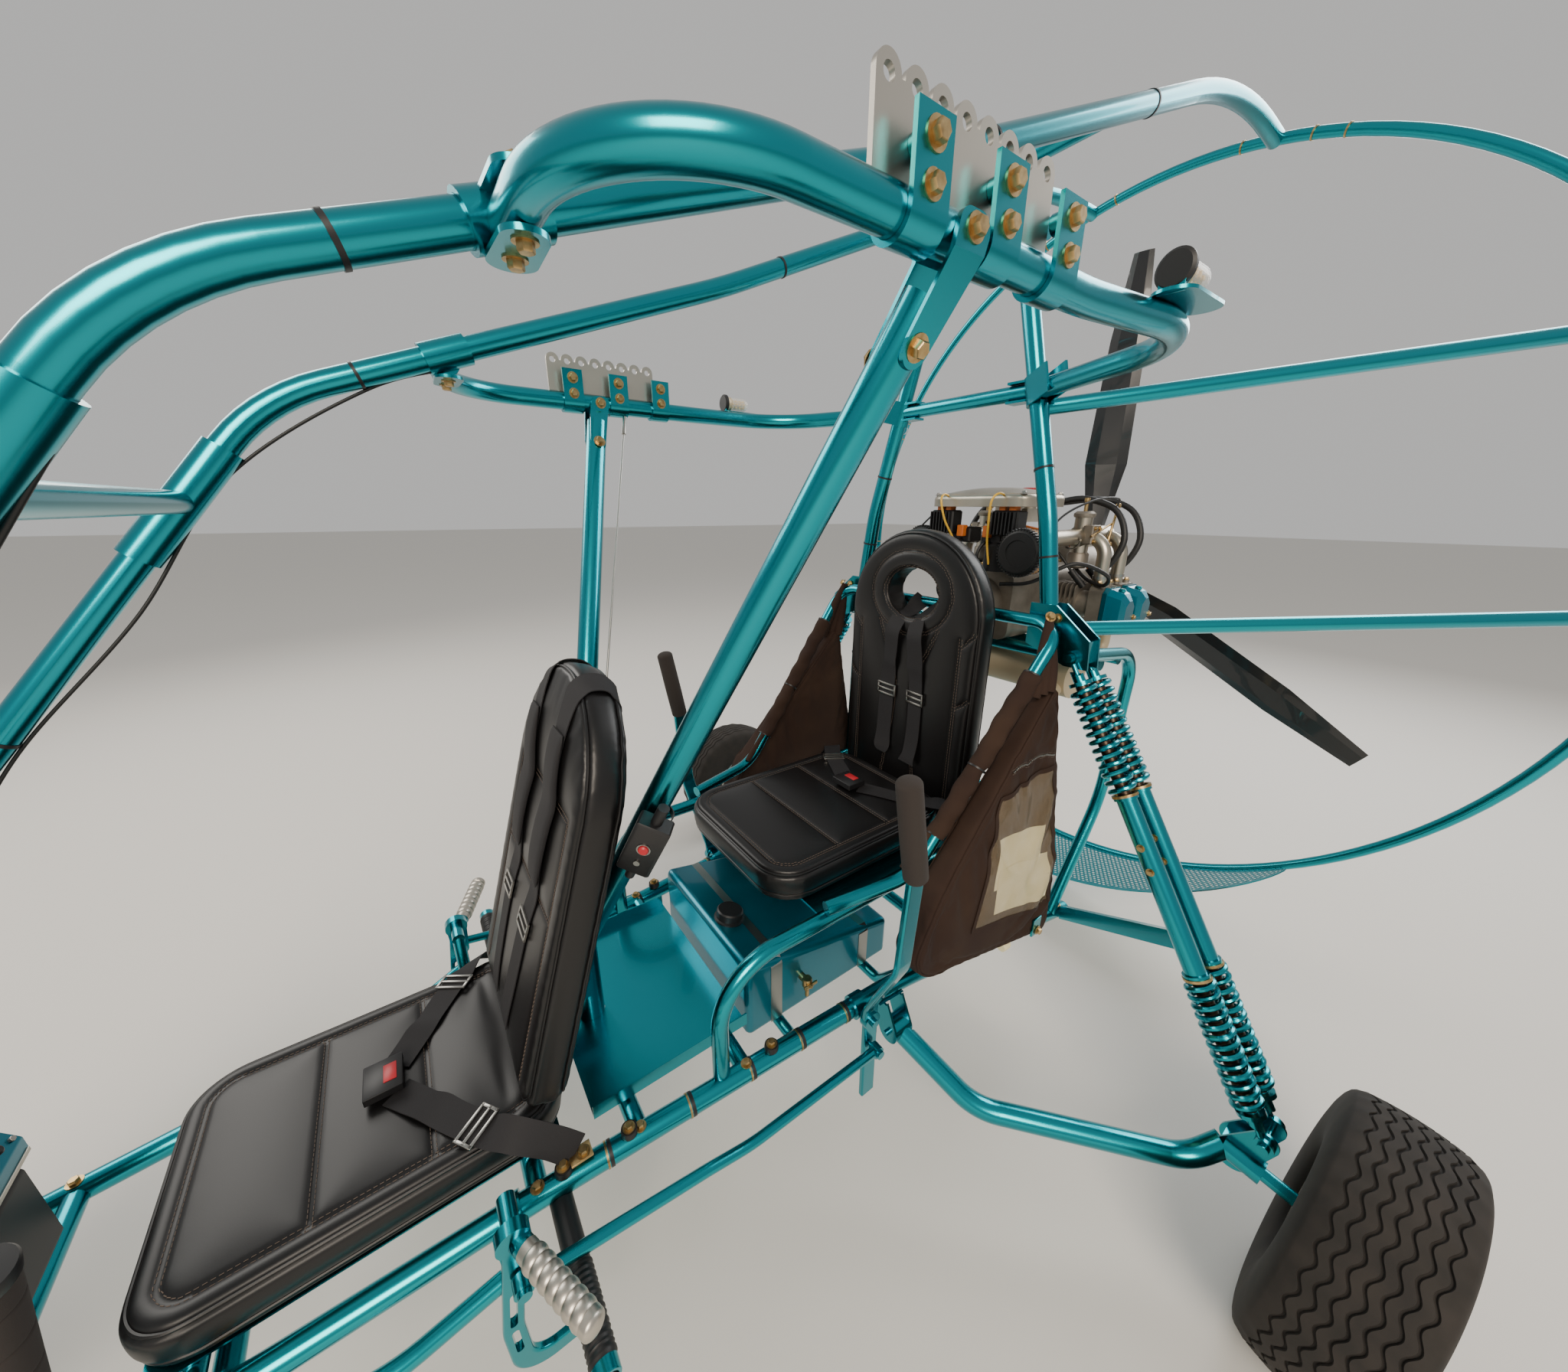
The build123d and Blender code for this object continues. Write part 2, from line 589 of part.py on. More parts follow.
def rim(hub, axis, rim_radius, width, bore):
    """A wheel rim with a flange at each edge, a web and a hub."""
    plane = wheel_profile(hub, axis)
    with BuildSketch(plane) as section:
        with Locations((rim_radius - SEAT - 4, 0)):
            Rectangle(8, width)
        with Locations((rim_radius / 2, 0)):
            Rectangle(rim_radius - 2, 8)
        with Locations((bore / 2 + 9, 0)):
            Rectangle(18, width * 0.8)
        with Locations((bore / 4, 0)):
            Rectangle(bore / 2, width, mode=Mode.SUBTRACT)
    revolve(section.sketch, axis=Axis(hub, axis))


BORE = AXLE_D + 2 * HUB_BORE_GAP
with BuildPart() as main_tyre:
    tyre(HUB, HUB_AXIS, TYRE_R, TYRE_W, RIM_R, TYRE_SIDE)
save_pair(main_tyre, "tyre")
with BuildPart() as main_rim:
    rim(HUB, HUB_AXIS, RIM_R, TYRE_W - 40, BORE)
save_pair(main_rim, "rim")
with BuildPart() as nose_tyre:
    tyre(NOSE_HUB, (1, 0, 0), NOSE_R, NOSE_W, NOSE_RIM_R, 30)
save(nose_tyre, "nose_tyre")
with BuildPart() as nose_rim:
    rim(NOSE_HUB, (1, 0, 0), NOSE_RIM_R, NOSE_W - 30, BORE)
save(nose_rim, "nose_rim")

# Gear legs, each with its eye, its axle at the outer end and the knuckle plates for the struts
LEG_TUBE = 44.5
LEG_PIVOT = (345, 300, 350)
LEG_EYE_D = 50.0
LEG_EYE_W = 40.0
AXLE_IN = 120.0
AXLE_OUT = 62.0
axle_in = tuple(h - AXLE_IN * a for h, a in zip(HUB, HUB_AXIS))
leg_end = tuple(h - (AXLE_IN + 60) * a for h, a in zip(HUB, HUB_AXIS))
axle_out = tuple(h + AXLE_OUT * a for h, a in zip(HUB, HUB_AXIS))
with BuildPart() as gear_leg:
    bent_tube([LEG_PIVOT, (505, 381, 222), (800, 655, 205), leg_end], [140, 90], LEG_TUBE)
    rod(leg_end, axle_in, LEG_TUBE)
    rod(axle_in, axle_out, AXLE_D)
    for side in (-1, 1):
        link(cross_plane(KNUCKLE[1] + side * PLATE_Y), (KNUCKLE[0], KNUCKLE[2]), (850, 240), 20, 30, PLATE)
    block((850, KNUCKLE[1], 240), (40, 2 * PLATE_Y + PLATE, 34))
    strut_pin(*KNUCKLE)
    x, y, z = LEG_PIVOT
    block((x, y - LEG_EYE_W / 2 - 40, z), (120, 80, 120), mode=Mode.SUBTRACT)
    block((x, y + LEG_EYE_W / 2 + 40, z), (56, 80, 120), mode=Mode.SUBTRACT)
    rod((x, y - LEG_EYE_W / 2, z), (x, y + LEG_EYE_W / 2, z), LEG_EYE_D)
    rod((x, y - LEG_EYE_W, z), (x, y + LEG_EYE_W, z), PIN_D + 2 * SEAT + 2, mode=Mode.SUBTRACT)
save_pair(gear_leg, "gear_leg")

# Drag braces from the back of the rails to the struts, rectangular in section
BRACE_INNER = (352, 990, 306)
BRACE_OUTER = strut_point(622, STRUT_GAP / 2)
with BuildPart() as drag_brace:
    start, end = Vector(*BRACE_INNER), Vector(*BRACE_OUTER)
    with BuildSketch(Plane(origin=start, x_dir=(0, 0, 1), z_dir=end - start)) as section:
        Rectangle(36, 20)
    extrude(section.sketch, amount=(end - start).length)
    for offset in (-STRUT_GAP / 2, STRUT_GAP / 2):
        near_strut = (strut_point(500, offset), strut_point(900, offset))
        rod(*near_strut, STRUT_TUBE + 2 * SEAT, mode=Mode.SUBTRACT)
    block((BRACE_OUTER[0], BRACE_OUTER[1] - 30, BRACE_OUTER[2]), (90, 60, 120), mode=Mode.SUBTRACT)
    add(lower_room.part, mode=Mode.SUBTRACT)
save_both(drag_brace, "drag_braces")

# Standoffs from the uprights to the guard ring


def on_ring(angle):
    """The point of the guard ring's axis at an angle above the horizontal, on the left."""
    turn = math.radians(angle)
    return (RING_R * math.cos(turn), RING_Y, RING_Z + RING_R * math.sin(turn))


STANDOFF_TOP = on_ring(27.9)
STANDOFF_LOW = on_ring(-1.1)
FOOT_BACK_Y = FOOT[1] + PLATE_Y + PLATE / 2 + SEAT
with BuildPart() as standoffs:
    rod((CLAMP[0], CLAMP[1], CLAMP_Z - 36), STANDOFF_TOP, CROSS_TUBE)
    rod((330, 760, 1170), STANDOFF_LOW, CROSS_TUBE)
    cope_ring()
    add(upright_room.part, mode=Mode.SUBTRACT)
    add(clamp_room.part, mode=Mode.SUBTRACT)
    block((400, FOOT_BACK_Y - 50, 1170), (400, 100, 200), mode=Mode.SUBTRACT)
    block((150, 761, 1640), (80, 120, 120), mode=Mode.SUBTRACT)
save_both(standoffs, "standoffs")

# Perforated guard that runs forward from the lower arc of the ring
GUARD_ARC = 40.0
GUARD_DEPTH = 290.0
GUARD_SHEET = 2.0
with BuildPart() as guard_mesh:
    with BuildSketch(Plane.XZ.offset(-RING_Y + GUARD_TUBE / 2 + SEAT)) as band:
        with Locations((0, RING_Z)):
            Circle(RING_R + GUARD_SHEET / 2)
            Circle(RING_R - GUARD_SHEET / 2, mode=Mode.SUBTRACT)
    extrude(band.sketch, amount=GUARD_DEPTH)
    reach = RING_R * math.sin(math.radians(GUARD_ARC))
    with BuildSketch(Plane.XY) as lens:
        with Locations((0, RING_Y)):
            Ellipse(reach, GUARD_DEPTH)
    extrude(lens.sketch, amount=RING_Z / 2, mode=Mode.INTERSECT)
save(guard_mesh, "guard_mesh")

# Propeller: a hub with a socket for each blade, on the gearbox shaft
SHAFT_D = 40.0
SHAFT_END = PROP_Y + 20
SOCKET_D = 64.0
SOCKET_R = 110.0
BLADES = 3
# Share of the radius, chord, thickness and pitch
BLADE_SECTIONS = [(0.125, 56, 44, 40), (0.35, 118, 20, 28), (0.75, 96, 13, 16), (1.0, 52, 7, 10)]
with BuildPart() as prop_hub:
    rod((0, PROP_Y - HUB_LENGTH / 2, RING_Z), (0, PROP_Y + HUB_LENGTH / 2, RING_Z), HUB_D)
    for turn in range(BLADES):
        angle = math.radians(90 + 360 / BLADES * turn)
        tip = (SOCKET_R * math.cos(angle), PROP_Y, RING_Z + SOCKET_R * math.sin(angle))
        rod((0, PROP_Y, RING_Z), tip, SOCKET_D - 8)
    rod((0, PROP_Y - 50, RING_Z), (0, SHAFT_END + 1, RING_Z), SHAFT_D + 2 * HUB_BORE_GAP, mode=Mode.SUBTRACT)
save(prop_hub, "prop_hub")
with BuildPart() as prop_blade:
    for share, chord, thick, pitch in BLADE_SECTIONS:
        middle = (0, PROP_Y, RING_Z + share * PROP_R)
        with BuildSketch(Plane(origin=middle, x_dir=(1, 0, 0), z_dir=(0, 0, 1))):
            with BuildLine(Rot(0, 0, pitch)):
                lens = [(-chord / 2, 0), (-chord / 4, thick / 2), (chord / 4, thick / 2)]
                Polyline(*lens, (chord / 2, 0), (chord / 4, -thick / 2), (-chord / 4, -thick / 2), close=True)
            make_face()
    loft(ruled=True)
    ahead = (0, PROP_Y, RING_Z + SOCKET_R + SEAT)
    rod((0, PROP_Y, RING_Z + 50), ahead, 300, mode=Mode.SUBTRACT)
with BuildPart() as prop_blades:
    for turn in range(BLADES):
        add(prop_blade.part.rotate(Axis((0, 0, RING_Z), (0, 1, 0)), 360 / BLADES * turn))
save(prop_blades, "prop_blades")

# Engine, a flat four with its gearbox at the back, on two tubes of the engine frame
BEARER_Y = (960.0, 1056.0)
ENGINE_BACK = PROP_Y - 190
ENGINE_L = 410.0
GEARBOX_BACK = PROP_Y - 58
BEARER_Z = 1057.0
CRANK_H = 190.0
CRANK_Z = BEARER_Z + CROSS_TUBE / 2 + SEAT + CRANK_H / 2
CYLINDER_Y = (1142.0, 1238.0)
CYLINDER_X = (100.0, 248.0)
HEAD_W = 88.0
HEAD_H = 112.0
FINS = 6
with BuildPart() as crankcase:
    with BuildSketch(cross_plane(ENGINE_BACK)) as section:
        with Locations((0, CRANK_Z)):
            RectangleRounded(2 * CYLINDER_X[0], CRANK_H, 30)
    extrude(section.sketch, amount=ENGINE_L)
    with BuildSketch(cross_plane(GEARBOX_BACK)) as section:
        with Locations((0, 1210)):
            RectangleRounded(160, 200, 60)
    extrude(section.sketch, amount=132)
    rod((0, ENGINE_BACK - ENGINE_L - 60, CRANK_Z), (0, ENGINE_BACK - ENGINE_L + 1, CRANK_Z), 150)
    rod((0, GEARBOX_BACK - 7, RING_Z), (0, PROP_Y - HUB_LENGTH / 2 - SEAT, RING_Z), 110)
    rod((0, GEARBOX_BACK - 7, RING_Z), (0, SHAFT_END, RING_Z), SHAFT_D)
save(crankcase, "crankcase")
with BuildPart() as cylinders:
    for side in (-1, 1):
        for y in CYLINDER_Y:
            inner_x, outer_x = side * (CYLINDER_X[0] + SEAT), side * CYLINDER_X[1]
            rod((inner_x, y, CRANK_Z), (outer_x, y, CRANK_Z), HEAD_W - 14)
            for fin in range(FINS):
                x = side * (CYLINDER_X[0] + 12 + 13 * fin)
                with BuildSketch(side_plane(x)) as plate:
                    with Locations((y, CRANK_Z)):
                        RectangleRounded(HEAD_W, HEAD_H, 16)
                extrude(plate.sketch, amount=2, both=True)
            with BuildSketch(side_plane(side * (CYLINDER_X[1] - 17))) as plate:
                with Locations((y, CRANK_Z)):
                    RectangleRounded(HEAD_W, HEAD_H, 16)
            extrude(plate.sketch, amount=17, both=True)
save(cylinders, "cylinders")
with BuildPart() as rocker_covers:
    for side in (-1, 1):
        for y in CYLINDER_Y:
            seat = (side * (CYLINDER_X[1] + SEAT), y, CRANK_Z)
            plane = Plane(origin=seat, x_dir=(0, 1, 0), z_dir=(side, 0, 0))
            with BuildSketch(plane) as base:
                RectangleRounded(HEAD_W - 2, HEAD_H - 4, 18)
            extrude(base.sketch, amount=56, taper=9)
save(rocker_covers, "rocker_covers")

# Engine bearer loops from the upright feet down to the back of the rails
LOOP_X = 338.0
with BuildPart() as engine_loop:
    loop = [(LOOP_X, 740, 1110), (LOOP_X, 1140, 1060), (LOOP_X, 1120, 640), (LOOP_X, 940, 318)]
    bent_tube(loop, [90, 300], CROSS_TUBE)
    add(lower_room.part, mode=Mode.SUBTRACT)
    block((LOOP_X, FOOT_BACK_Y - 50, 1110), (100, 100, 100), mode=Mode.SUBTRACT)
with BuildPart() as engine_frame:
    add(engine_loop.part)
    mirror(engine_loop.part, about=Plane.YZ)
    for y in BEARER_Y:
        rod((-LOOP_X, y, BEARER_Z), (LOOP_X, y, BEARER_Z), CROSS_TUBE)
save(engine_frame, "engine_frame")

# Intake: a curved runner from each head up to its carburettor, an airbox across and two round filters
CARB_Y = 1155.0
CARB_X = 150.0
HEAD_TOP = CRANK_Z + HEAD_H / 2
PORT_X = CYLINDER_X[1] - 32.0
RUNNER_Z = 1348.0
FILTER = (152, 850, 1316)
AIRBOX_Z = 1424.0
with BuildPart() as intake:
    for side in (-1, 1):
        for y in CYLINDER_Y:
            port = (side * PORT_X, y, HEAD_TOP + SEAT)
            runner = [port, (side * PORT_X, y, RUNNER_Z), (side * CARB_X, y, RUNNER_Z)]
            bent_tube(runner, [52], 34)
        rod((side * CARB_X, CYLINDER_Y[1] + 30, RUNNER_Z), (side * CARB_X, CARB_Y - 40, RUNNER_Z), 56)
        rod((side * CARB_X, CARB_Y - 20, RUNNER_Z - 68), (side * CARB_X, CARB_Y - 20, RUNNER_Z + 52), 44)
        filter_x = side * FILTER[0]
        hose = [(side * CARB_X, CARB_Y - 30, RUNNER_Z), (filter_x, 960, RUNNER_Z - 4), (filter_x, 880, FILTER[2])]
        bent_tube(hose, [120], 42)
        rod((side * FILTER[0], 890, FILTER[2]), (side * FILTER[0], FILTER[1] - 15, FILTER[2]), 106)
    with BuildSketch(Plane.XY.offset(AIRBOX_Z)) as lid:
        with Locations((0, 950)):
            RectangleRounded(300, 210, 50)
    extrude(lid.sketch, amount=30)
    fillet(faces().sort_by(Axis.Z)[-1].edges(), 12)
    rod((0, 1010, CRANK_Z + CRANK_H / 2 + SEAT), (0, 1010, AIRBOX_Z + 10), 70)
    block((0, 1100, AIRBOX_Z - 22), (60, 90, 36))
    rod((0, 1112, AIRBOX_Z - 30), (0, 1112, AIRBOX_Z + 34), 40)
    rod((0, 1030, AIRBOX_Z - 22), (0, 1080, AIRBOX_Z - 22), 24)
save(intake, "intake")

# Exhaust: a pipe from under each head into a muffler across the frame
MUFFLER_Z = 985.0
MUFFLER_Y = 1030.0
HEAD_BOTTOM = CRANK_Z - HEAD_H / 2
with BuildPart() as exhaust:
    for side in (-1, 1):
        for y in CYLINDER_Y:
            head = (side * PORT_X, y, HEAD_BOTTOM - SEAT)
            pipe = [head, (side * PORT_X, y, 1030), (side * 190, MUFFLER_Y, MUFFLER_Z)]
            bent_tube(pipe, [30], 32)
    rod((-250, MUFFLER_Y, MUFFLER_Z), (250, MUFFLER_Y, MUFFLER_Z), 110)
    rod((225, MUFFLER_Y, MUFFLER_Z), (225, 860, 900), 38)
save(exhaust, "exhaust")

# Fuel tank, with a top that falls towards the back
TANK_W = 390.0
TANK_BOTTOM = CRADLE_Z + GUARD_TUBE / 2 + SEAT
TANK_SIDE = [(16, TANK_BOTTOM), (16, 548), (420, 465), (420, TANK_BOTTOM)]
with BuildPart() as fuel_tank:
    slab(side_plane(0), TANK_SIDE, TANK_W)
    fillet(edges(), 14)
save(fuel_tank, "fuel_tank")

# Cargo bags, hung from the hoop by a sleeve and standing against the uprights
BAG_IN = 326.0
BAG_OUT = 400.0
BAG_SIDE = [(338, 690), (700, 1080), (722, 960), (838, 352), (318, 500), (268, 560)]
BAG_SECTION = [
    (352, 300),
    (BAG_OUT - 8, 330),
    (BAG_OUT, 640),
    (374, 1120),
    (BAG_IN, 1120),
    (BAG_IN, 520),
    (352, 440),
]
with BuildPart() as hoop_room:
    bent_tube(HOOP, HOOP_BENDS, HOOP_TUBE + 2 * SEAT)
with BuildPart() as cargo_bag:
    slab(side_plane((BAG_IN + BAG_OUT) / 2), BAG_SIDE, 200)
    with BuildSketch(cross_plane(1000)) as section:
        with BuildLine():
            Polyline(*BAG_SECTION, close=True)
        make_face()
    extrude(section.sketch, amount=1000, mode=Mode.INTERSECT)
    rod(between(HOOP_SIDE[1], HOOP_SIDE[2], 0.16), between(HOOP_SIDE[1], HOOP_SIDE[2], 0.8), HOOP_TUBE + 12)
    add(hoop_room.part, mode=Mode.SUBTRACT)
    add(upright_room.part, mode=Mode.SUBTRACT)
save_pair(cargo_bag, "cargo_bag")

# Floor plate on its cross tubes, with a folded lip along each side
FLOOR_Y = (-300.0, 5.0)
FLOOR_W = 420.0
floor_z = along(LOWER, FLOOR_CROSS_Y[4])[2] + CROSS_TUBE / 2 + SEAT
with BuildPart() as floor_plate:
    block((0, sum(FLOOR_Y) / 2, floor_z + 1.5), (FLOOR_W, FLOOR_Y[1] - FLOOR_Y[0], 3))
    for side in (-1, 1):
        block((side * (FLOOR_W / 2 - 1.5), sum(FLOOR_Y) / 2, floor_z + 14), (3, FLOOR_Y[1] - FLOOR_Y[0], 28))
    rod((0, POST_Y, 400), (0, POST_Y, 480), POST_D + 2 * SEAT, mode=Mode.SUBTRACT)
save(floor_plate, "floor_plate")

# Nose pod on its cross tube and the instrument pod on top of it
POD_Z = along(LOWER, FLOOR_CROSS_Y[0])[2] + CROSS_TUBE / 2 + SEAT
POD_TOP = 534.0
POD_SIDE = [(-985, POD_Z), (-985, POD_TOP), (-1230, POD_TOP), (-1290, POD_Z + 40), (-1290, POD_Z)]
PANEL_SIDE = [(-985, 560), (-1075, 700), (-1110, 700), (-1160, 620)]
with BuildPart() as nose_pod:
    slab(side_plane(0), POD_SIDE, 250)
    fillet(edges().filter_by(Axis.X), 12)
save(nose_pod, "nose_pod")
with BuildPart() as instrument_pod:
    panel = [(-985, POD_TOP + SEAT)] + PANEL_SIDE + [(-1160, POD_TOP + SEAT)]
    slab(side_plane(0), panel, 300)
    fillet(edges().filter_by(Axis.X), 6)
save(instrument_pod, "instrument_pod")

# Steering head, fork and nose axle
HEAD_Y = NOSE_Y - 20.0
STEM_D = 30.0
HEAD_D = 48.0
CROWN_Z = NOSE_R * 2 + 24
HEAD_TIERS = (CROWN_Z + 30, CROWN_Z + 90)
with BuildPart() as steering_head:
    rod((0, HEAD_Y, CROWN_Z + 12), (0, HEAD_Y, CROWN_Z + 122), HEAD_D)
    for z in HEAD_TIERS:
        rail = at_height([FRONT_RUN[1], FRONT_RUN[0]], z)
        rod(other(rail), rail, GUARD_TUBE)
        block((0, (HEAD_Y + rail[1]) / 2, z), (70, rail[1] - HEAD_Y, 8))
    rod((0, HEAD_Y, CROWN_Z), (0, HEAD_Y, CROWN_Z + 200), STEM_D + 2 * HUB_BORE_GAP, mode=Mode.SUBTRACT)
    add(overhead_room.part, mode=Mode.SUBTRACT)
save(steering_head, "steering_head")
FORK_GAP = 164.0
with BuildPart() as fork:
    rod((0, HEAD_Y, CROWN_Z), (0, HEAD_Y, CROWN_Z + 130), STEM_D)
    block((0, HEAD_Y + 10, CROWN_Z), (FORK_GAP + 12, 60, 10))
    for side in (-1, 1):
        plane = side_plane(side * FORK_GAP / 2)
        link(plane, (HEAD_Y + 10, CROWN_Z - 24), (NOSE_Y, NOSE_R), 28, 24, 12)
    block((0, HEAD_Y + 10, CROWN_Z + 12), (FORK_GAP + 40, 100, 14), mode=Mode.SUBTRACT)
    rod((0, HEAD_Y, CROWN_Z), (0, HEAD_Y, CROWN_Z + 130), STEM_D)
    rod((-96, NOSE_Y, NOSE_R), (96, NOSE_Y, NOSE_R), AXLE_D)
save(fork, "fork")

# Steering stick beside the front seat
STICK_PIVOT = (312, -850, 392)
STICK_BEND = (330, -805, 660)
STICK_TOP = (352, -765, 850)
with BuildPart() as steering_stick:
    rod(STICK_PIVOT, STICK_BEND, 25)
    rod(STICK_BEND, STICK_TOP, 38)
    x, y, z = STICK_PIVOT
    rod((x - 14, y, z), (x + 14, y, z), 32)
    rod((x - 30, y, z), (x + 30, y, z), PIN_D + 2 * SEAT, mode=Mode.SUBTRACT)
save(steering_stick, "steering_stick")

# Hand levers beside the rear seat, with their pushrods and front cranks
LEVER_PIVOT = (340, 222, 420)
CRANK_PIVOT = (340, -440, 500)
LEVER_ARM = 65.0
LINK_W = 18.0
LEVER = [(340, 226, 210), (340, 221, 455), (428, 196, 640), (443, 190, 850)]
LEVER_GRIP = (441, 156, 1028)
PUSHROD_X = LEVER_PIVOT[0] + LINK_W / 2 + 3
PUSHROD_BACK = (PUSHROD_X, LEVER_PIVOT[1], LEVER_PIVOT[2] - LEVER_ARM)
PUSHROD_FRONT = (PUSHROD_X, CRANK_PIVOT[1], CRANK_PIVOT[2] - LEVER_ARM)


def pivot_hub(pivot, width, size):
    """A boss round a pin along X, with its running bore."""
    x, y, z = pivot
    rod((x - width / 2, y, z), (x + width / 2, y, z), size)
    rod((x - width, y, z), (x + width, y, z), PIN_D + 2 * SEAT, mode=Mode.SUBTRACT)


def pin_along_x(start_x, end_x, pivot):
    """A pin along X with a head at its outer end."""
    rod((start_x, pivot[1], pivot[2]), (end_x + 6, pivot[1], pivot[2]), PIN_D)
    rod((end_x, pivot[1], pivot[2]), (end_x + 6, pivot[1], pivot[2]), PIN_D + 8)


ROD_EYE_W = 20.0
BAR_THICK = 12.0
LEVER_BAR_W = 36.0
GRIP_D = 40.0
CRANK_BAR_W = 28.0
CRANK_GRIP_D = 28.0
CRANK_HOOK = [(-440, 500), (-463, 330), (-459, 224), (-385, 222)]
CRANK_BENDS = [90, 46]
CRANK_SLOTS = [((-454, 400), (-461, 345)), ((-462, 325), (-461, 285))]
PUSHROD_BOW = [(-80, 362), (-165, 382)]
ROD_EYE_X = PUSHROD_X + ROD_EYE_W / 2
with BuildPart() as lever:
    bent_bar(LEVER, [60, 90], BAR_THICK, LEVER_BAR_W)
    rod(LEVER[3], LEVER_GRIP, GRIP_D)
    pivot_hub(LEVER_PIVOT, LINK_W, LEVER_BAR_W + 4)
    pin_along_x(LEVER_PIVOT[0], PUSHROD_X + ROD_EYE_W, PUSHROD_BACK)
save_pair(lever, "lever")
with BuildPart() as hand_crank:
    x, y, z = CRANK_PIVOT
    bent_bar([(x + 3, *point) for point in CRANK_HOOK], CRANK_BENDS, BAR_THICK, CRANK_BAR_W)
    link(side_plane(x), (y, z), (y, z - LEVER_ARM), 20, 16, BAR_THICK)
    rod((x, y + 4, z - 6), (x + 140, y + 62, z - 4), CRANK_GRIP_D)
    for low, high in CRANK_SLOTS:
        with BuildSketch(side_plane(x)) as slot:
            with Locations(low, high):
                Circle(CRANK_BAR_W / 6)
            make_hull()
        extrude(slot.sketch, amount=LINK_W, both=True, mode=Mode.SUBTRACT)
    pivot_hub(CRANK_PIVOT, LINK_W, 44)
    pin_along_x(x, PUSHROD_X + ROD_EYE_W, PUSHROD_FRONT)
save_pair(hand_crank, "hand_crank")
with BuildPart() as pushrod:
    bow = [
        (ROD_EYE_X, PUSHROD_BACK[1], PUSHROD_BACK[2]),
        (ROD_EYE_X, PUSHROD_BOW[0][0], PUSHROD_BOW[0][1]),
        (ROD_EYE_X, PUSHROD_BOW[1][0], PUSHROD_BOW[1][1]),
        (ROD_EYE_X, PUSHROD_FRONT[1], PUSHROD_FRONT[2]),
    ]
    bent_tube(bow, [250, 250], 19)
    for x, y, z in (PUSHROD_BACK, PUSHROD_FRONT):
        rod((x + SEAT, y, z), (x + ROD_EYE_W - SEAT, y, z), 26)
        rod((x - 20, y, z), (x + 30, y, z), PIN_D + 2 * SEAT, mode=Mode.SUBTRACT)
save_pair(pushrod, "pushrod")

# Clamps and lugs: sleeves round the tubes, with the plates that carry what is hung on them
GUSSET_DROP = 94.0


with BuildPart() as rail_sleeves:
    rod(*sleeve, COLLAR)
    rod(*RAIL_TAB_ENDS, COLLAR)
    for side in (-1, 1):
        plane = Plane.XY.offset(OUTRIGGER_Z + side * (TUBE_ROOM + PLATE) / 2)
        tab = (RAIL_TAB[0] + 62, OUTRIGGER_FRONT_Y)
        link(plane, (RAIL_TAB[0] + 8, OUTRIGGER_FRONT_Y), tab, 22, 20, PLATE)
    add(overhead_room.part, mode=Mode.SUBTRACT)
with BuildPart() as upright_clamp:
    with BuildSketch(CLAMP_PLANE) as band:
        Circle(COLLAR / 2)
        with Locations((CLAMP_LEG / 2, 0)):
            Rectangle(CLAMP_LEG, COLLAR)
            Rectangle(CLAMP_LEG, TUBE_ROOM, mode=Mode.SUBTRACT)
    extrude(band.sketch, amount=CLAMP_H)
    for side in (-1, 1):
        z = CLAMP_Z + side * (CROSS_TUBE / 2 + SEAT + PLATE / 2)
        block((CLAMP[0] - 38, CLAMP[1], z), (48, 34, PLATE))
    add(upright_room.part, mode=Mode.SUBTRACT)
with BuildPart() as gusset:
    outer_x = OUTRIGGER_X + TUBE_ROOM / 2
    inner_x = OUTRIGGER_X - TUBE_ROOM / 2
    drop = GUSSET_DROP * (DIAGONAL_TOP[0] - DIAGONAL_FOOT[0]) / (DIAGONAL_TOP[2] - DIAGONAL_FOOT[2])
    bend = OUTRIGGER_Z - 18
    for x, out in ((outer_x, 1), (inner_x, -1)):
        plate = [(x, OUTRIGGER_Z + 14), (x, bend), (x - drop, bend - GUSSET_DROP)]
        plate += [(px + out * PLATE, pz) for px, pz in plate[::-1]]
        slab(cross_plane(58), plate, 80)
    with BuildSketch(side_plane(OUTRIGGER_X)) as trim:
        with Locations((52, OUTRIGGER_Z), (66, OUTRIGGER_Z)):
            Circle(14)
        with Locations((DIAGONAL_TOP[1] - 14, DIAGONAL_TOP[2] - 44)):
            Circle(17)
        make_hull()
    extrude(trim.sketch, amount=200, both=True, mode=Mode.INTERSECT)
    rod(DIAGONAL_TOP, DIAGONAL_FOOT, DIAGONAL_TUBE + 2 * SEAT, mode=Mode.SUBTRACT)
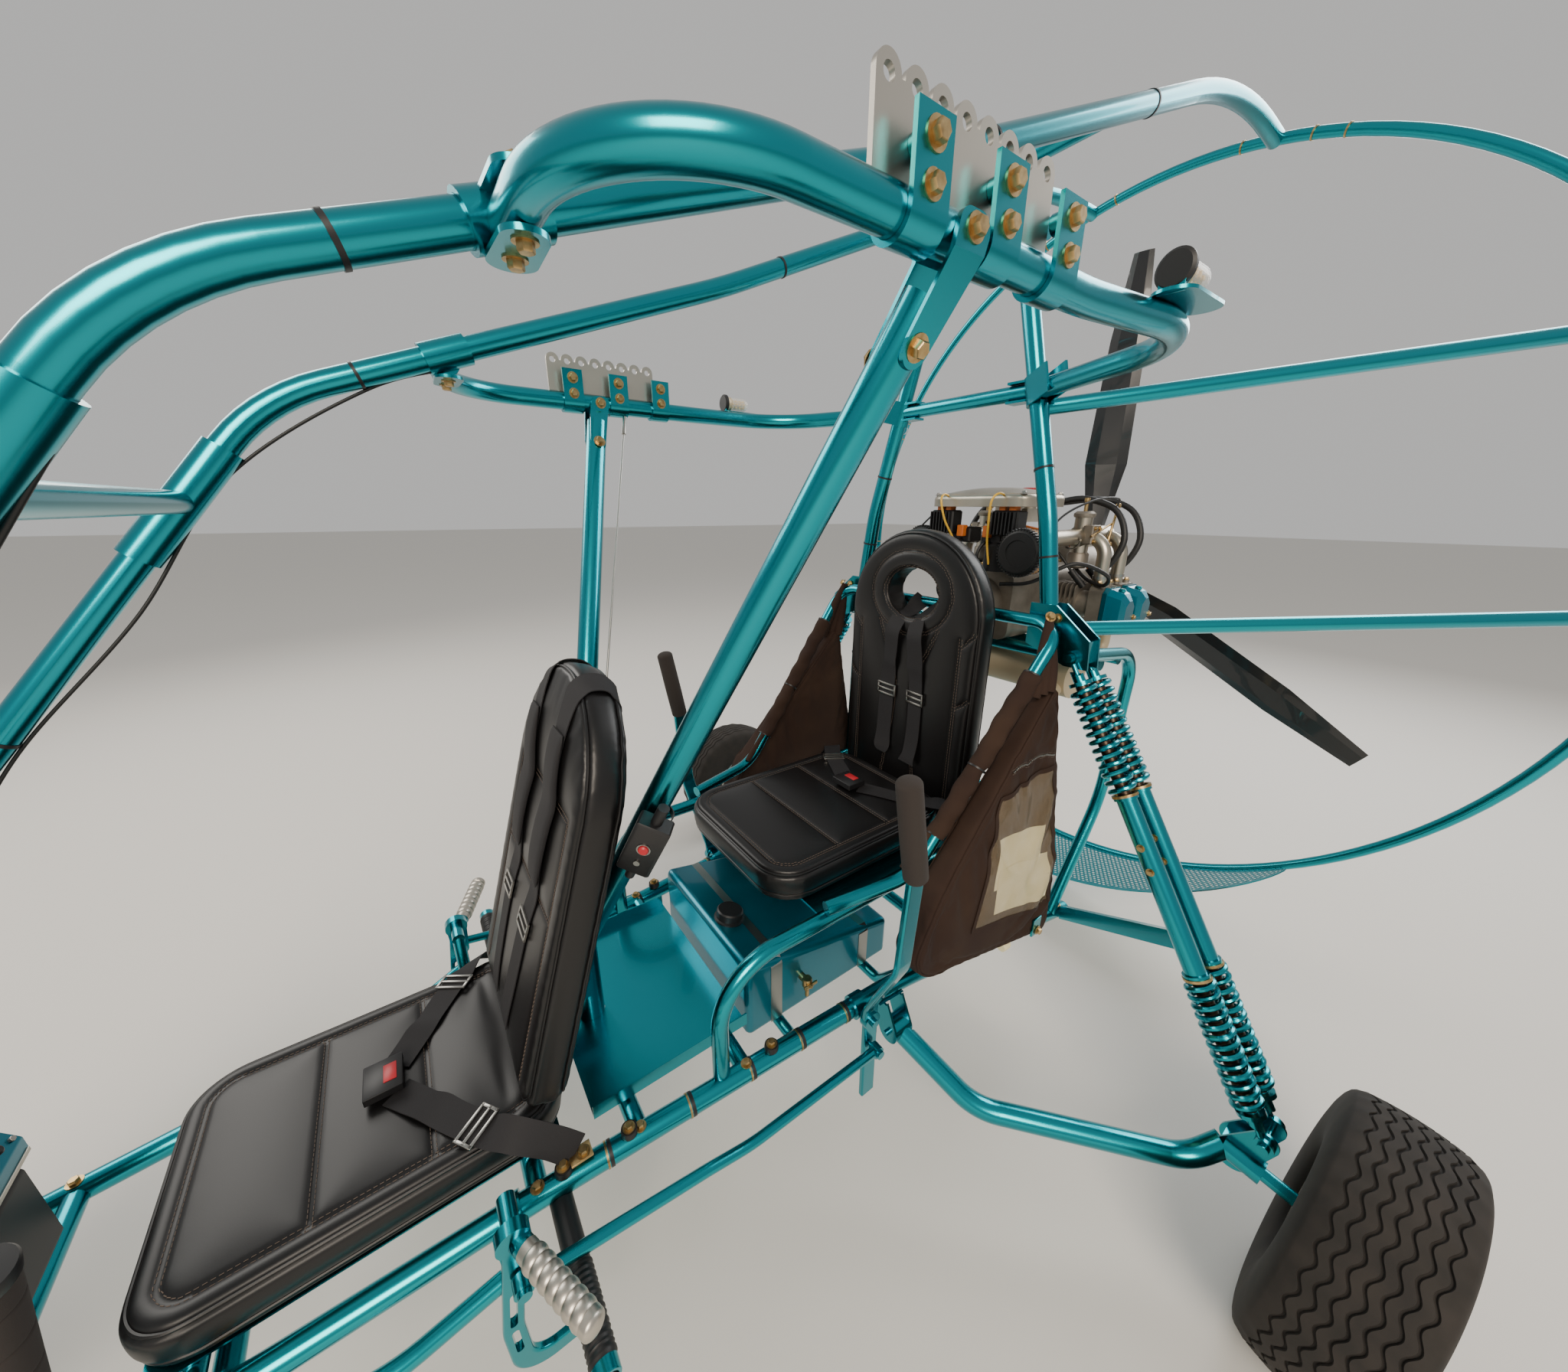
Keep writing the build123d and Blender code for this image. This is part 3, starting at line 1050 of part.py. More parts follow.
with BuildPart() as lower_lugs:
    leg_x, leg_y, leg_z = LEG_PIVOT
    rail_x, _, rail_z = along(LOWER, leg_y)
    for side in (-1, 1):
        plane = cross_plane(leg_y + side * (LEG_EYE_W / 2 + SEAT + PLATE / 2))
        link(plane, (rail_x, rail_z), (leg_x, leg_z), COLLAR / 2, LEG_EYE_D / 2, PLATE)
    rod((leg_x, leg_y - LEG_EYE_W / 2 - 14, leg_z), (leg_x, leg_y + LEG_EYE_W / 2 + 14, leg_z), PIN_D + 2)
    rod(along(LOWER, leg_y - 34), along(LOWER, leg_y + 34), COLLAR)
    block((rail_x, leg_y, rail_z + 12), (COLLAR + 10, 80, 44), mode=Mode.SUBTRACT)
    lever_x, lever_y, lever_z = LEVER_PIVOT
    rod(along(LOWER, lever_y - 15), along(LOWER, lever_y + 15), COLLAR)
    rod((302, lever_y, lever_z), (lever_x - LINK_W / 2 - SEAT, lever_y, lever_z), 24)
    rod((302, lever_y, lever_z), (lever_x + LINK_W / 2 + 8, lever_y, lever_z), PIN_D)
    rod((lever_x + LINK_W / 2 + SEAT, lever_y, lever_z), (lever_x + LINK_W / 2 + 8, lever_y, lever_z), 18)
    crank_x, crank_y, crank_z = CRANK_PIVOT
    rail_x, _, rail_z = along(LOWER, crank_y)
    rod(along(LOWER, crank_y - 15), along(LOWER, crank_y + 15), COLLAR)
    rod((rail_x, crank_y, rail_z), (crank_x - 40, crank_y, crank_z), 24)
    rod((crank_x - 52, crank_y, crank_z), (crank_x - LINK_W / 2 - SEAT, crank_y, crank_z), 24)
    rod((crank_x - 52, crank_y, crank_z), (crank_x + LINK_W / 2 - 1, crank_y, crank_z), PIN_D)
    add(lower_room.part, mode=Mode.SUBTRACT)
with BuildPart() as stick_lug:
    stick_x, stick_y, stick_z = STICK_PIVOT
    rail_x, _, rail_z = along(LOWER, stick_y)
    rod(along(LOWER, stick_y - 17), along(LOWER, stick_y + 17), COLLAR)
    rod((rail_x, stick_y, stick_z), (stick_x - 14 - SEAT, stick_y, stick_z), 26)
    rod((rail_x, stick_y, stick_z), (stick_x + 22, stick_y, stick_z), PIN_D)
    rod((stick_x + 14 + SEAT, stick_y, stick_z), (stick_x + 22, stick_y, stick_z), 18)
    add(lower_room.part, mode=Mode.SUBTRACT)
with BuildPart() as frame_clamps:
    for lug in (rail_sleeves, upright_clamp, gusset, lower_lugs):
        add(lug.part)
        mirror(lug.part, about=Plane.YZ)
    add(stick_lug.part)
save(frame_clamps, "frame_clamps")

# Foot pegs on the lower rails
PEG_Y = -373.0
PEG_D = 34.0
PEG_DROP = 17.0
with BuildPart() as foot_peg:
    peg_z = along(LOWER, PEG_Y)[2] - PEG_DROP
    rod((255, PEG_Y, peg_z), (485, PEG_Y, peg_z), PEG_D)
    rod((470, PEG_Y, peg_z), (486, PEG_Y, peg_z), PEG_D - 8, mode=Mode.SUBTRACT)
    add(lower_room.part, mode=Mode.SUBTRACT)
save_both(foot_peg, "foot_pegs")

# Navigation lights: a dome on a collar, on a bent plate fixed to the outrigger
LIGHT = (533, 470, OUTRIGGER_Z + MAIN_TUBE / 2 + 14)
with BuildPart() as nav_light:
    x, y, z = LIGHT
    with BuildSketch(Plane.XY.offset(z - 13)) as shelf_outline:
        with Locations((x + 18, y + 10)):
            RectangleRounded(52, 130, 24)
    extrude(shelf_outline.sketch, amount=4)
    block((x + 18, y - 42, z + 7), (52, 4, 44))
    rod((x + 18, y - 40, z + 12), (x + 18, y - 24, z + 12), 36)
    rod((x + 18, y - 25, z + 12), (x + 18, y + 20, z + 12), 32)
    with Locations((x + 18, y + 20, z + 12)):
        Sphere(16)
    add(outrigger_room.part, mode=Mode.SUBTRACT)
save_both(nav_light, "nav_lights")

# Whip antenna beside the near end of the front cross tube
with BuildPart() as antenna:
    base = along(FRONT_RUN, FRONT_CROSS_Y)
    rod((200, FRONT_CROSS_Y, base[2] + CROSS_TUBE / 2 + SEAT), (200, FRONT_CROSS_Y, base[2] + 60), 30)
    rod((200, FRONT_CROSS_Y, base[2] + 50), (200, FRONT_CROSS_Y, base[2] + 600), 4)
save(antenna, "antenna")
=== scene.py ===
"""Looks of the two-seat powered parachute trike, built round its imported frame.

Places and sizes are in millimetres in the row frame: +Z up, -Y the direction of flight, +X the
pilot's left. Points become metres in piece(), which makes every mesh.
"""

import math

import bpy
import numpy as np
from mathutils import Matrix, Vector
from mathutils.bvhtree import BVHTree
from mathutils.kdtree import KDTree


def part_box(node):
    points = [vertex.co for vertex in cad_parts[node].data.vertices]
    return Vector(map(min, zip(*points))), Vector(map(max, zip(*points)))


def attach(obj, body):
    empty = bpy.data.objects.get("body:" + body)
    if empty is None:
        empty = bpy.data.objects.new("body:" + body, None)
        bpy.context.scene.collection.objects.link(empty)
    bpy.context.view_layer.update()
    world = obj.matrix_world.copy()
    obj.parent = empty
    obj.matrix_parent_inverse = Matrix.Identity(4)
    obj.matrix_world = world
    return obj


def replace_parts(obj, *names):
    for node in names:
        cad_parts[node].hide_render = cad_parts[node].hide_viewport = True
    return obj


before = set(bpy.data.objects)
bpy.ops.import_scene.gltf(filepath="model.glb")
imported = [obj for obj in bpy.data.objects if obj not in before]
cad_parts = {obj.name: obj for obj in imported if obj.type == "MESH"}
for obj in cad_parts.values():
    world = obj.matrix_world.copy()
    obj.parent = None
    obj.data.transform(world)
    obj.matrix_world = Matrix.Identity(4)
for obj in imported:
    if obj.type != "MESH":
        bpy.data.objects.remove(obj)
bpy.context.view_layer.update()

MM = 0.001
SIDES = (-1, 1)
NAMED_SIDES = ((1, "left"), (-1, "right"))

# Driving sizes, as in the part's source
MAIN_TUBE = 38.1
OUTRIGGER = (514.0, 1650.0)  # x and z of the straight run
COLLAR_R = 24.35
BRACKET_Y = (0.0, 106.0, 212.0)
RAIL_LINE = [(175, -1490, 340), (250, -400, 402), (310, 330, 425), (340, 1020, 300)]
OVERHEAD_LINE = [(227, 1618, 2316), (235, 1300, 2316), (272, 264, 1861), (284, -523, 1569), (175, -1490, 340)]
UPRIGHT_LINE = [(78, 773, 2062), (260, 753, 1400), (300, 757, 1165), (329, 765, 346)]
RING = (1092.0, 1618.0, 1248.0)  # radius, y and z
STRUT_TOP = (372.0, 757.3, 1118.0)
STRUT_FOOT = (885.0, 722.0, 318.0)
STRUT_GAP = 61.3
STRUT_R = 19.05
SPRING = (62.0, 235.0, 23.4, 5.1, 13)  # start, length, coil radius, wire radius, turns
CAMBER = math.radians(4.0)
MAIN_HUB = (1016.0, 698.0, 242.6)
NOSE_HUB = (0.0, -1430.7, 200.0)
QUARTER = math.pi / 2
CORE = 0.2  # radius of the pinhole in the middle of a turned solid


# Colours and materials


def linear(hex_text):
    """The linear colour of an sRGB hex value."""
    values = [int(hex_text[i : i + 2], 16) / 255 for i in (0, 2, 4)]
    return [v / 12.92 if v <= 0.04045 else ((v + 0.055) / 1.055) ** 2.4 for v in values] + [1.0]


def node(tree, kind, links=(), **values):
    """Adds a shader node, sets its inputs by name and links (input, node, output) triples to it."""
    made = tree.nodes.new("ShaderNode" + kind)
    for name, value in values.items():
        made.inputs[name.replace("_", " ")].default_value = value
    for name, source, output in links:
        tree.links.new(source.outputs[output], made.inputs[name])
    return made


def material(name, hex_text, rough, metal=0.0, coat=0.0, grain=None, mottle=None, **more):
    """A plain surface. grain is (size, depth) of its bumps in mm, mottle (size in mm, second colour)."""
    made = bpy.data.materials.new(name)
    made.use_nodes = True
    tree = made.node_tree
    shader = tree.nodes["Principled BSDF"]
    shader.inputs["Base Color"].default_value = linear(hex_text)
    for socket, value in {"Roughness": rough, "Metallic": metal, "Coat_Weight": coat, **more}.items():
        shader.inputs[socket.replace("_", " ")].default_value = value
    place = node(tree, "TexCoord")
    if grain:
        noise = node(tree, "TexNoise", [("Vector", place, "Object")], Scale=1 / (grain[0] * MM), Detail=3.0)
        bump = node(tree, "Bump", [("Height", noise, "Fac")], Distance=grain[1] * MM, Strength=1.0)
        tree.links.new(bump.outputs["Normal"], shader.inputs["Normal"])
    if mottle:
        noise = node(tree, "TexNoise", [("Vector", place, "Object")], Scale=1 / (mottle[0] * MM), Detail=4.0)
        ramp = node(tree, "ValToRGB", [("Fac", noise, "Fac")])
        ramp.color_ramp.elements[0].position = 0.35
        ramp.color_ramp.elements[1].position = 0.7
        ramp.color_ramp.elements[0].color = linear(hex_text)
        ramp.color_ramp.elements[1].color = linear(mottle[1])
        tree.links.new(ramp.outputs["Color"], shader.inputs["Base Color"])
    return made


# Paint: candy teal powder coat over metallic flake, deeper on the tank and the covers
TEAL = material(
    "candy_teal_powder_coat", "008f9e", 0.24, 1.0, 0.35, mottle=(900, "009aa4"), Coat_Roughness=0.05
)
TEAL_DARK = material("teal_paint_dark", "007286", 0.32, 0.8, 0.5, Coat_Roughness=0.08)
# Metals and other hard finishes of the frame and the engine
ZINC = material("yellow_zinc_plate", "c4a978", 0.34, 1.0, mottle=(9, "9c7f52"))
ALLOY = material("brushed_aluminium", "bdb7ac", 0.36, 1.0, grain=(1.2, 0.02))
CAST = material("cast_aluminium", "928b81", 0.5, 0.75, grain=(2.0, 0.12), mottle=(60, "746d63"))
BLASTED = material("blasted_aluminium", "bfb8aa", 0.34, 1.0, grain=(1.5, 0.04), mottle=(90, "a79f90"))
# The strut rods are bronze, darkened further with painted shade where the springs wind round them
ROD = material("dark_bronze_rod_painted_shade", "4a3f36", 0.38, 1.0)
PLEAT = material("oiled_filter_paper", "a9835a", 0.7)
# Seats, bags and belts
LEATHER = material("black_seat_vinyl", "0e0d0e", 0.38, grain=(1.6, 0.05), Specular_IOR_Level=0.42)
THREAD = material("grey_brown_thread", "5d5148", 0.8)
CLOTH = material(
    "brown_bag_cloth", "2a1b15", 0.88, grain=(0.9, 0.12), mottle=(120, "35251b"), Specular_IOR_Level=0.3
)
VINYL = material("clear_vinyl", "9c8b70", 0.06, Alpha=0.18)
PAPER = material("cream_paper", "f3ebc4", 0.85, mottle=(55, "e6dba8"))
WEBBING = material("black_webbing", "18171a", 0.78, grain=(1.5, 0.25))
# Rubber, foam, plastic and glass
RUBBER = material("tyre_rubber", "201d1a", 0.86, grain=(3.0, 0.08), mottle=(40, "2c2723"))
HOSE = material("black_hose_rubber", "0f0f10", 0.5)
FOAM = material("grip_foam", "2e2825", 0.95, grain=(1.0, 0.2))
BLADE = material("black_composite", "111214", 0.3, coat=0.5)
PLASTIC = material("black_plastic", "141416", 0.45)
RED = material("red_plastic", "b01f2a", 0.4)
CERAMIC = material("cream_ceramic_coat", "b9a88a", 0.5, 0.2)
STEEL = material("stainless_steel", "a5a39e", 0.3, 1.0)
GLASS = material("clear_polycarbonate", "e8e6e0", 0.06, Alpha=0.3)
AMBER = material("amber_diode", "e0b23c", 0.3)
ORANGE = material("orange_lead", "c96a22", 0.5)
SCREEN = material("dark_screen_glass", "0a0d10", 0.1, coat=1.0)


# Shells of points and faces


def unit(v):
    """A vector, or rows of vectors, at length one."""
    v = np.asarray(v, float)
    return v / np.linalg.norm(v, axis=-1, keepdims=True)


def basis(axis):
    """Two directions square to an axis and to each other."""
    axis = unit(axis)
    helper = np.array([0.0, 0, 1]) if abs(axis[2]) < 0.9 else np.array([1.0, 0, 0])
    across = unit(np.cross(helper, axis))
    return across, np.cross(axis, across)


def grid_faces(rows, columns, wrap_rows=False, wrap_columns=True):
    """Quads of a grid whose points are numbered row by row."""
    r = np.arange(rows if wrap_rows else rows - 1)
    c = np.arange(columns if wrap_columns else columns - 1)
    r, c = [a.ravel() for a in np.meshgrid(r, c, indexing="ij")]
    r2, c2 = (r + 1) % rows, (c + 1) % columns
    return np.stack([r * columns + c, r * columns + c2, r2 * columns + c2, r2 * columns + c], 1).tolist()


def capped(rows, columns):
    """Quads of a tube's grid with a face over each end."""
    last = (rows - 1) * columns
    return grid_faces(rows, columns) + [list(range(columns))[::-1], list(range(last, last + columns))]


def turned_over(faces, side):
    """The faces of a mirrored shell: reversed on the right side."""
    return faces if side == 1 else [face[::-1] for face in faces]


def full_turn(count):
    """Angles that divide a turn evenly."""
    return np.arange(count) * 2 * math.pi / count


def circle(across, up, angle):
    """Directions at some angles between two that are square to each other."""
    return across * np.cos(angle)[:, None] + up * np.sin(angle)[:, None]


def smooth_line(points, count):
    """A smooth line through a few points, by Catmull and Rom's cubic in each stretch."""
    p = np.asarray(points, float)
    p = np.vstack([2 * p[0] - p[1], p, 2 * p[-1] - p[-2]])
    t = np.linspace(0, len(points) - 1, count)
    i = np.minimum(t.astype(int), len(points) - 2)
    u = (t - i)[:, None]
    a, b, c, d = p[i], p[i + 1], p[i + 2], p[i + 3]
    return 0.5 * (2 * b + (c - a) * u + (2 * a - 5 * b + 4 * c - d) * u**2 + (3 * b - a - 3 * c + d) * u**3)


def carried_frames(line):
    """Two cross directions at each point of a line, carried along it without twist."""
    tangents = unit(np.gradient(line, axis=0))
    across = [basis(tangents[0])[0]]
    for t in tangents[1:]:
        across.append(unit(across[-1] - t * np.dot(across[-1], t)))
    across = np.array(across)
    return across, np.cross(tangents, across)


WASHER = 1.4  # thickness


class Shells:
    """Closed shells gathered into one piece."""

    def __init__(self):
        self.points, self.faces, self.count = [], [], 0

    def add(self, points, faces):
        """Adds one shell's points and its faces."""
        points = np.asarray(points, float).reshape(-1, 3)
        self.faces += [[i + self.count for i in face] for face in faces]
        self.points.append(points)
        self.count += len(points)

    def sweep(self, line, radius, sides):
        """A round bar along a line; the radius may change from point to point."""
        line = np.asarray(line, float)
        across, up = carried_frames(line)
        radius = np.broadcast_to(radius, len(line))[:, None, None]
        ring = circle(across[:, None], up[:, None], full_turn(sides))
        self.add(line[:, None] + ring * radius, capped(len(line), sides))

    def rod(self, start, end, radius, sides=16):
        """A straight round bar."""
        self.sweep(np.array([start, end], float), radius, sides)

    def turned(self, profile, base, axis, sides):
        """A turned ring: its closed profile is (radius, height), counter-clockwise with radius to the right."""
        profile = np.asarray(profile, float)
        spoke = circle(*basis(axis), full_turn(sides))
        out, along = profile[:, None, :1] * spoke, profile[:, None, 1:] * unit(axis)
        faces = [f[::-1] for f in grid_faces(len(profile), sides, wrap_rows=True)]
        self.add(np.asarray(base, float) + out + along, faces)

    def solid(self, profile, base, axis, sides):
        """A turned solid from its outer profile, which closes at the axis."""
        self.turned([(CORE, profile[0][1]), *profile, (CORE, profile[-1][1])], base, axis, sides)

    def hoop(self, inner, outer, low, high, base, axis, sides=36):
        """A flat ring between two radii and two heights."""
        self.turned([(inner, low), (outer, low), (outer, high), (inner, high)], base, axis, sides)

    def block(self, centre, size, axes=None):
        """A box with its faces along the given axes, each edge cut at 45 degrees."""
        axes = np.eye(3) if axes is None else np.asarray(axes, float)
        half = np.asarray(size, float) / 2
        cut = min(half) * 0.18
        rounds = []
        for z, inset in ((-1, cut), (-1, 0), (1, 0), (1, cut)):
            depth = half[2] - (0 if inset else cut)
            x, y = half[0] - inset, half[1] - inset
            corner = [(x - cut, y), (cut - x, y), (-x, y - cut), (-x, cut - y)]
            corner += [(-a, -b) for a, b in corner]
            rounds += [[a, b, z * depth] for a, b in corner]
        points = np.asarray(centre, float) + np.array(rounds) @ axes
        self.add(points, capped(4, 8))

    def bolt(self, at, axis, size, washer=True):
        """A hexagon head with its washer, sitting on a face; size is across the flats."""
        at, ring = np.asarray(at, float), circle(*basis(axis), full_turn(6))
        axis = unit(axis)
        r, lift = size / math.sqrt(3), WASHER if washer else 0.0
        levels = ((r, lift - 0.4), (r, lift + size * 0.46), (r * 0.86, lift + size * 0.56))
        self.add(np.concatenate([at + ring * radius + axis * h for radius, h in levels]), capped(3, 6))
        if washer:
            self.rod(at - axis * 0.3, at + axis * WASHER, size * 0.86, 20)


def walled(front, back, faces):
    """A closed sheet from its two sides and the faces of its front."""
    count = len(front)
    edges = {(a, b) for face in faces for a, b in zip(face, face[1:] + face[:1])}
    border = [(a, b) for a, b in sorted(edges) if (b, a) not in edges]
    walls = [[b, a, a + count, b + count] for a, b in border]
    return np.vstack([front, back]), faces + [[i + count for i in f[::-1]] for f in faces] + walls


def piece(name, shells, look, body="frame", smooth=True):
    """Makes the mesh, in metres, and lets it ride on a body."""
    points = np.concatenate(shells.points) * MM
    mesh = bpy.data.meshes.new(name)
    mesh.from_pydata(points.tolist(), [], shells.faces)
    mesh.validate()
    mesh.materials.append(look)
    made = bpy.data.objects.new(name, mesh)
    bpy.context.scene.collection.objects.link(made)
    if smooth:
        mesh.shade_smooth()
        mesh.set_sharp_from_angle(angle=math.radians(38))
    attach(made, body)
    return made


def pieces(*rows):
    """Several pieces of the frame, each from its name, shells and look."""
    for name, shells, look in rows:
        piece(name, shells, look)


def turned_piece(name, profile, base, axis, sides, look, body="frame"):
    """A piece of one turned solid."""
    shells = Shells()
    shells.solid(profile, base, axis, sides)
    piece(name, shells, look, body)


def form(name, points, faces, look, body="frame"):
    """A piece of one shell."""
    shells = Shells()
    shells.add(points, faces)
    made = piece(name, shells, look, body)
    return made


def run_at(points, axis, value):
    """The ends of a line's straight run on which one coordinate has the given value."""
    for a, b in zip(points, points[1:]):
        if min(a[axis], b[axis]) <= value <= max(a[axis], b[axis]):
            return np.array(a, float), np.array(b, float)
    raise ValueError(f"the line has no point at {value}")


def on_line(points, axis, value):
    """The point of a line of straight runs where one coordinate has the given value."""
    a, b = run_at(points, axis, value)
    return a + (value - a[axis]) / (b[axis] - a[axis]) * (b - a)


def flip(point, side):
    """The same point on the given side."""
    return np.array([point[0] * side, point[1], point[2]], float)


# Finish of the CAD nodes that show as they are

BARE = {
    "riser_plates": ALLOY,
    "crankcase": CAST,
    "cylinders": CAST,
    "rocker_covers": TEAL_DARK,
    "intake": BLASTED,
    "exhaust": CERAMIC,
    "fuel_tank": TEAL_DARK,
    "instrument_pod": TEAL_DARK,
    "nose_pod": PLASTIC,
    "prop_hub": ALLOY,
    "prop_blades": BLADE,
    "antenna": STEEL,
    "foot_pegs": HOSE,
}
for name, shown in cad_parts.items():
    shown.data.materials.clear()
    shown.data.materials.append(BARE.get(name, TEAL))


# Wheels

MAIN_TREAD = (239.0, 170.0, 105.0, 7, 30)  # radius, width, rim radius, grooves, waves round the tyre
NOSE_TREAD = (200.0, 120.0, 88.0, 5, 26)
ROUND = 420


def tyre(name, hub, axis, sizes, body, node_name):
    """A tyre with wavy ribs. Across the tread each rib edge lies at x + A sin(n angle), and a groove dips
    4 mm between two edges; the crown falls with the square of x and the sidewall is an elliptic bulge."""
    radius, width, rim_r, grooves, waves = sizes
    half, tread = width / 2, width / 2 * 0.82
    edges = []
    pitch = 2 * tread / (grooves + 1)
    for k in range(grooves):
        x = -tread + pitch * (k + 1)
        edges += [(x - 2.6, 0.0), (x - 1.5, 4.0), (x + 1.5, 4.0), (x + 2.6, 0.0)]
    x = np.array([e[0] for e in edges])
    drop = np.array([e[1] for e in edges])
    crown = radius - 9.0 * (x / tread) ** 2 - drop
    angle = np.linspace(math.pi / 2 * 0.93, -math.pi / 2, 12)
    wall_x = tread + (half - tread) * np.cos(angle)
    middle, rise = (radius - 12 + rim_r) / 2, (radius - 12 - rim_r) / 2
    wall_r = middle + rise * np.sin(angle)
    bead_x = half * 0.72
    profile_x = np.concatenate([[-bead_x], -wall_x[::-1], x, wall_x, [bead_x], [0.0]])
    profile_r = np.concatenate([[rim_r + 0.5], wall_r[::-1], crown, wall_r, [rim_r + 0.5], [rim_r + 0.5]])
    wave = np.concatenate([np.zeros(13), np.full(len(x), 4.2), np.zeros(14)])
    turn = full_turn(ROUND)
    along_axis = profile_x[None] + wave[None] * np.sin(waves * turn)[:, None]
    spoke = circle(*basis(axis), turn)
    points = np.array(hub) + spoke[:, None] * profile_r[None, :, None] + along_axis[..., None] * unit(axis)
    faces = [f[::-1] for f in grid_faces(ROUND, len(profile_x), wrap_rows=True)]
    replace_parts(form(name, points, faces, RUBBER, body=body), node_name)


def rim(name, hub, axis, radius, width, body, node_name):
    """A cast wheel: flanged barrel, dished web, hub, and a ring of bolts."""
    shells = Shells()
    h = width / 2
    barrel = [(radius + 9, h), (radius + 9, h - 6), (radius, h - 9), (radius - 6, h - 30)]
    barrel += [(a, -b) for a, b in barrel[::-1]]
    inner = [(radius - 14, -h + 24), (radius - 8, -h + 2), (radius + 4, -h - 3)]
    barrel += inner[::-1] + [(a, -b) for a, b in inner]
    shells.turned(barrel, hub, axis, 72)
    web = [(radius * 0.6, -8), (18, -10), (18, 18), (radius * 0.6, 16), (radius - 8, 5), (radius - 8, -5)]
    shells.turned(web, hub, axis, 72)
    boss = [(12.9, -h * 0.8), (12.9, h * 0.78), (29, h * 0.78), (34, h * 0.72), (34, -h * 0.8)]
    shells.turned(boss, hub, axis, 40)
    made = piece(name, shells, ALLOY, body)
    bolts = Shells()
    for spoke in circle(*basis(axis), full_turn(5)):
        bolts.bolt(np.array(hub) + spoke * radius * 0.52 + unit(axis) * 17, axis, 13)
    piece(name + "_bolts", bolts, ZINC, body)
    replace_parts(made, node_name)


for side, word in NAMED_SIDES:
    hub = flip(MAIN_HUB, side)
    axis = (side * math.cos(CAMBER), 0, -math.sin(CAMBER))
    tyre(f"ribbed_tyre_{word}", hub, axis, MAIN_TREAD, f"wheel_{word}", f"tyre_{word}")
    rim(f"cast_wheel_{word}", hub, axis, 100, 126, f"wheel_{word}", f"rim_{word}")
tyre("ribbed_tyre_nose", NOSE_HUB, (1, 0, 0), NOSE_TREAD, "nose_wheel", "nose_tyre")
rim("cast_wheel_nose", NOSE_HUB, (1, 0, 0), 82, 86, "nose_wheel", "nose_rim")

axle_ends, fork_ends = Shells(), Shells()
for side in SIDES:
    axis = np.array([side * math.cos(CAMBER), 0, -math.sin(CAMBER)])
    axle_ends.bolt(flip(MAIN_HUB, side) + axis * 60, axis, 32)
    fork_ends.bolt((side * 88, NOSE_HUB[1], NOSE_HUB[2]), (side, 0, 0), 28)
piece("axle_nuts", axle_ends, ZINC)
piece("fork_nuts", fork_ends, ZINC, "steering_fork")


# Struts: coils of wire round bronze rods darkened with painted shade, with gold end collars

coils, rods, collars = Shells(), Shells(), Shells()
start_at, coil_length, coil_r, wire_r, turns = SPRING
for side in SIDES:
    top, foot = flip(STRUT_TOP, side), flip(STRUT_FOOT, side)
    down = unit(foot - top)
    length = np.linalg.norm(foot - top)
    across, up = basis(down)
    for shift in (-STRUT_GAP / 2, STRUT_GAP / 2):
        base = top + np.array([0, shift, 0])
        for start in (start_at, length - start_at - coil_length):
            turn = np.linspace(0, turns * 2 * math.pi, turns * 22)
            run = start + wire_r + (coil_length - 2 * wire_r) * turn / turn[-1]
            coils.sweep(base + down * run[:, None] + circle(across, up, turn) * coil_r, wire_r, 8)
            rods.rod(base + down * (start + 1), base + down * (start + coil_length - 1), 12.6, 24)
        for reach in (start_at + coil_length, length - start_at - coil_length):
            collars.hoop(19.2, 24.6, -2.5, 2.5, base + down * reach, down, 40)
        for share in (0.42, 0.47):
            for out in np.array([(0, -1, 0), (0, 1, 0)]):
                collars.bolt(base + down * length * share + out * STRUT_R * 0.98, out, 9)
springs = piece("strut_coils", coils, TEAL)
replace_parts(springs, "springs")
pieces(("strut_rods", rods, ROD), ("strut_collars", collars, ZINC))


# Soft goods

CLOTH_FRAMES = 14


def mesh_of(points, faces):
    """A bare mesh, in metres, of points in millimetres."""
    mesh = bpy.data.meshes.new("cloth")
    mesh.from_pydata((np.asarray(points, float) * MM).tolist(), [], faces)
    return mesh


def evaluated(made):
    """The mesh of an object after its modifiers, and its points in millimetres."""
    result = bpy.data.meshes.new_from_object(made.evaluated_get(bpy.context.evaluated_depsgraph_get()))
    points = np.empty(len(result.vertices) * 3, np.float32)
    result.vertices.foreach_get("co", points)
    bpy.data.objects.remove(made)
    return result, points.reshape(-1, 3) / MM


def baked(mesh, *modifiers):
    """The points in millimetres, the faces and the normals that a mesh has after some modifiers."""
    made = bpy.data.objects.new("baked", mesh)
    bpy.context.scene.collection.objects.link(made)
    for kind, settings in modifiers:
        added = made.modifiers.new(kind.lower(), kind)
        for key, value in settings.items():
            setattr(added, key, value)
    result, points = evaluated(made)
    normals = np.empty(points.size, np.float32)
    result.vertex_normals.foreach_get("vector", normals)
    return points, [list(p.vertices) for p in result.polygons], normals.reshape(-1, 3)


def skin_of(mesh, voxel):
    """A closed form as an even net of quads, with its edges eased."""
    net = ("REMESH", {"mode": "VOXEL", "voxel_size": voxel * MM})
    return baked(mesh, net, ("SMOOTH", {"iterations": 4, "factor": 0.5}))


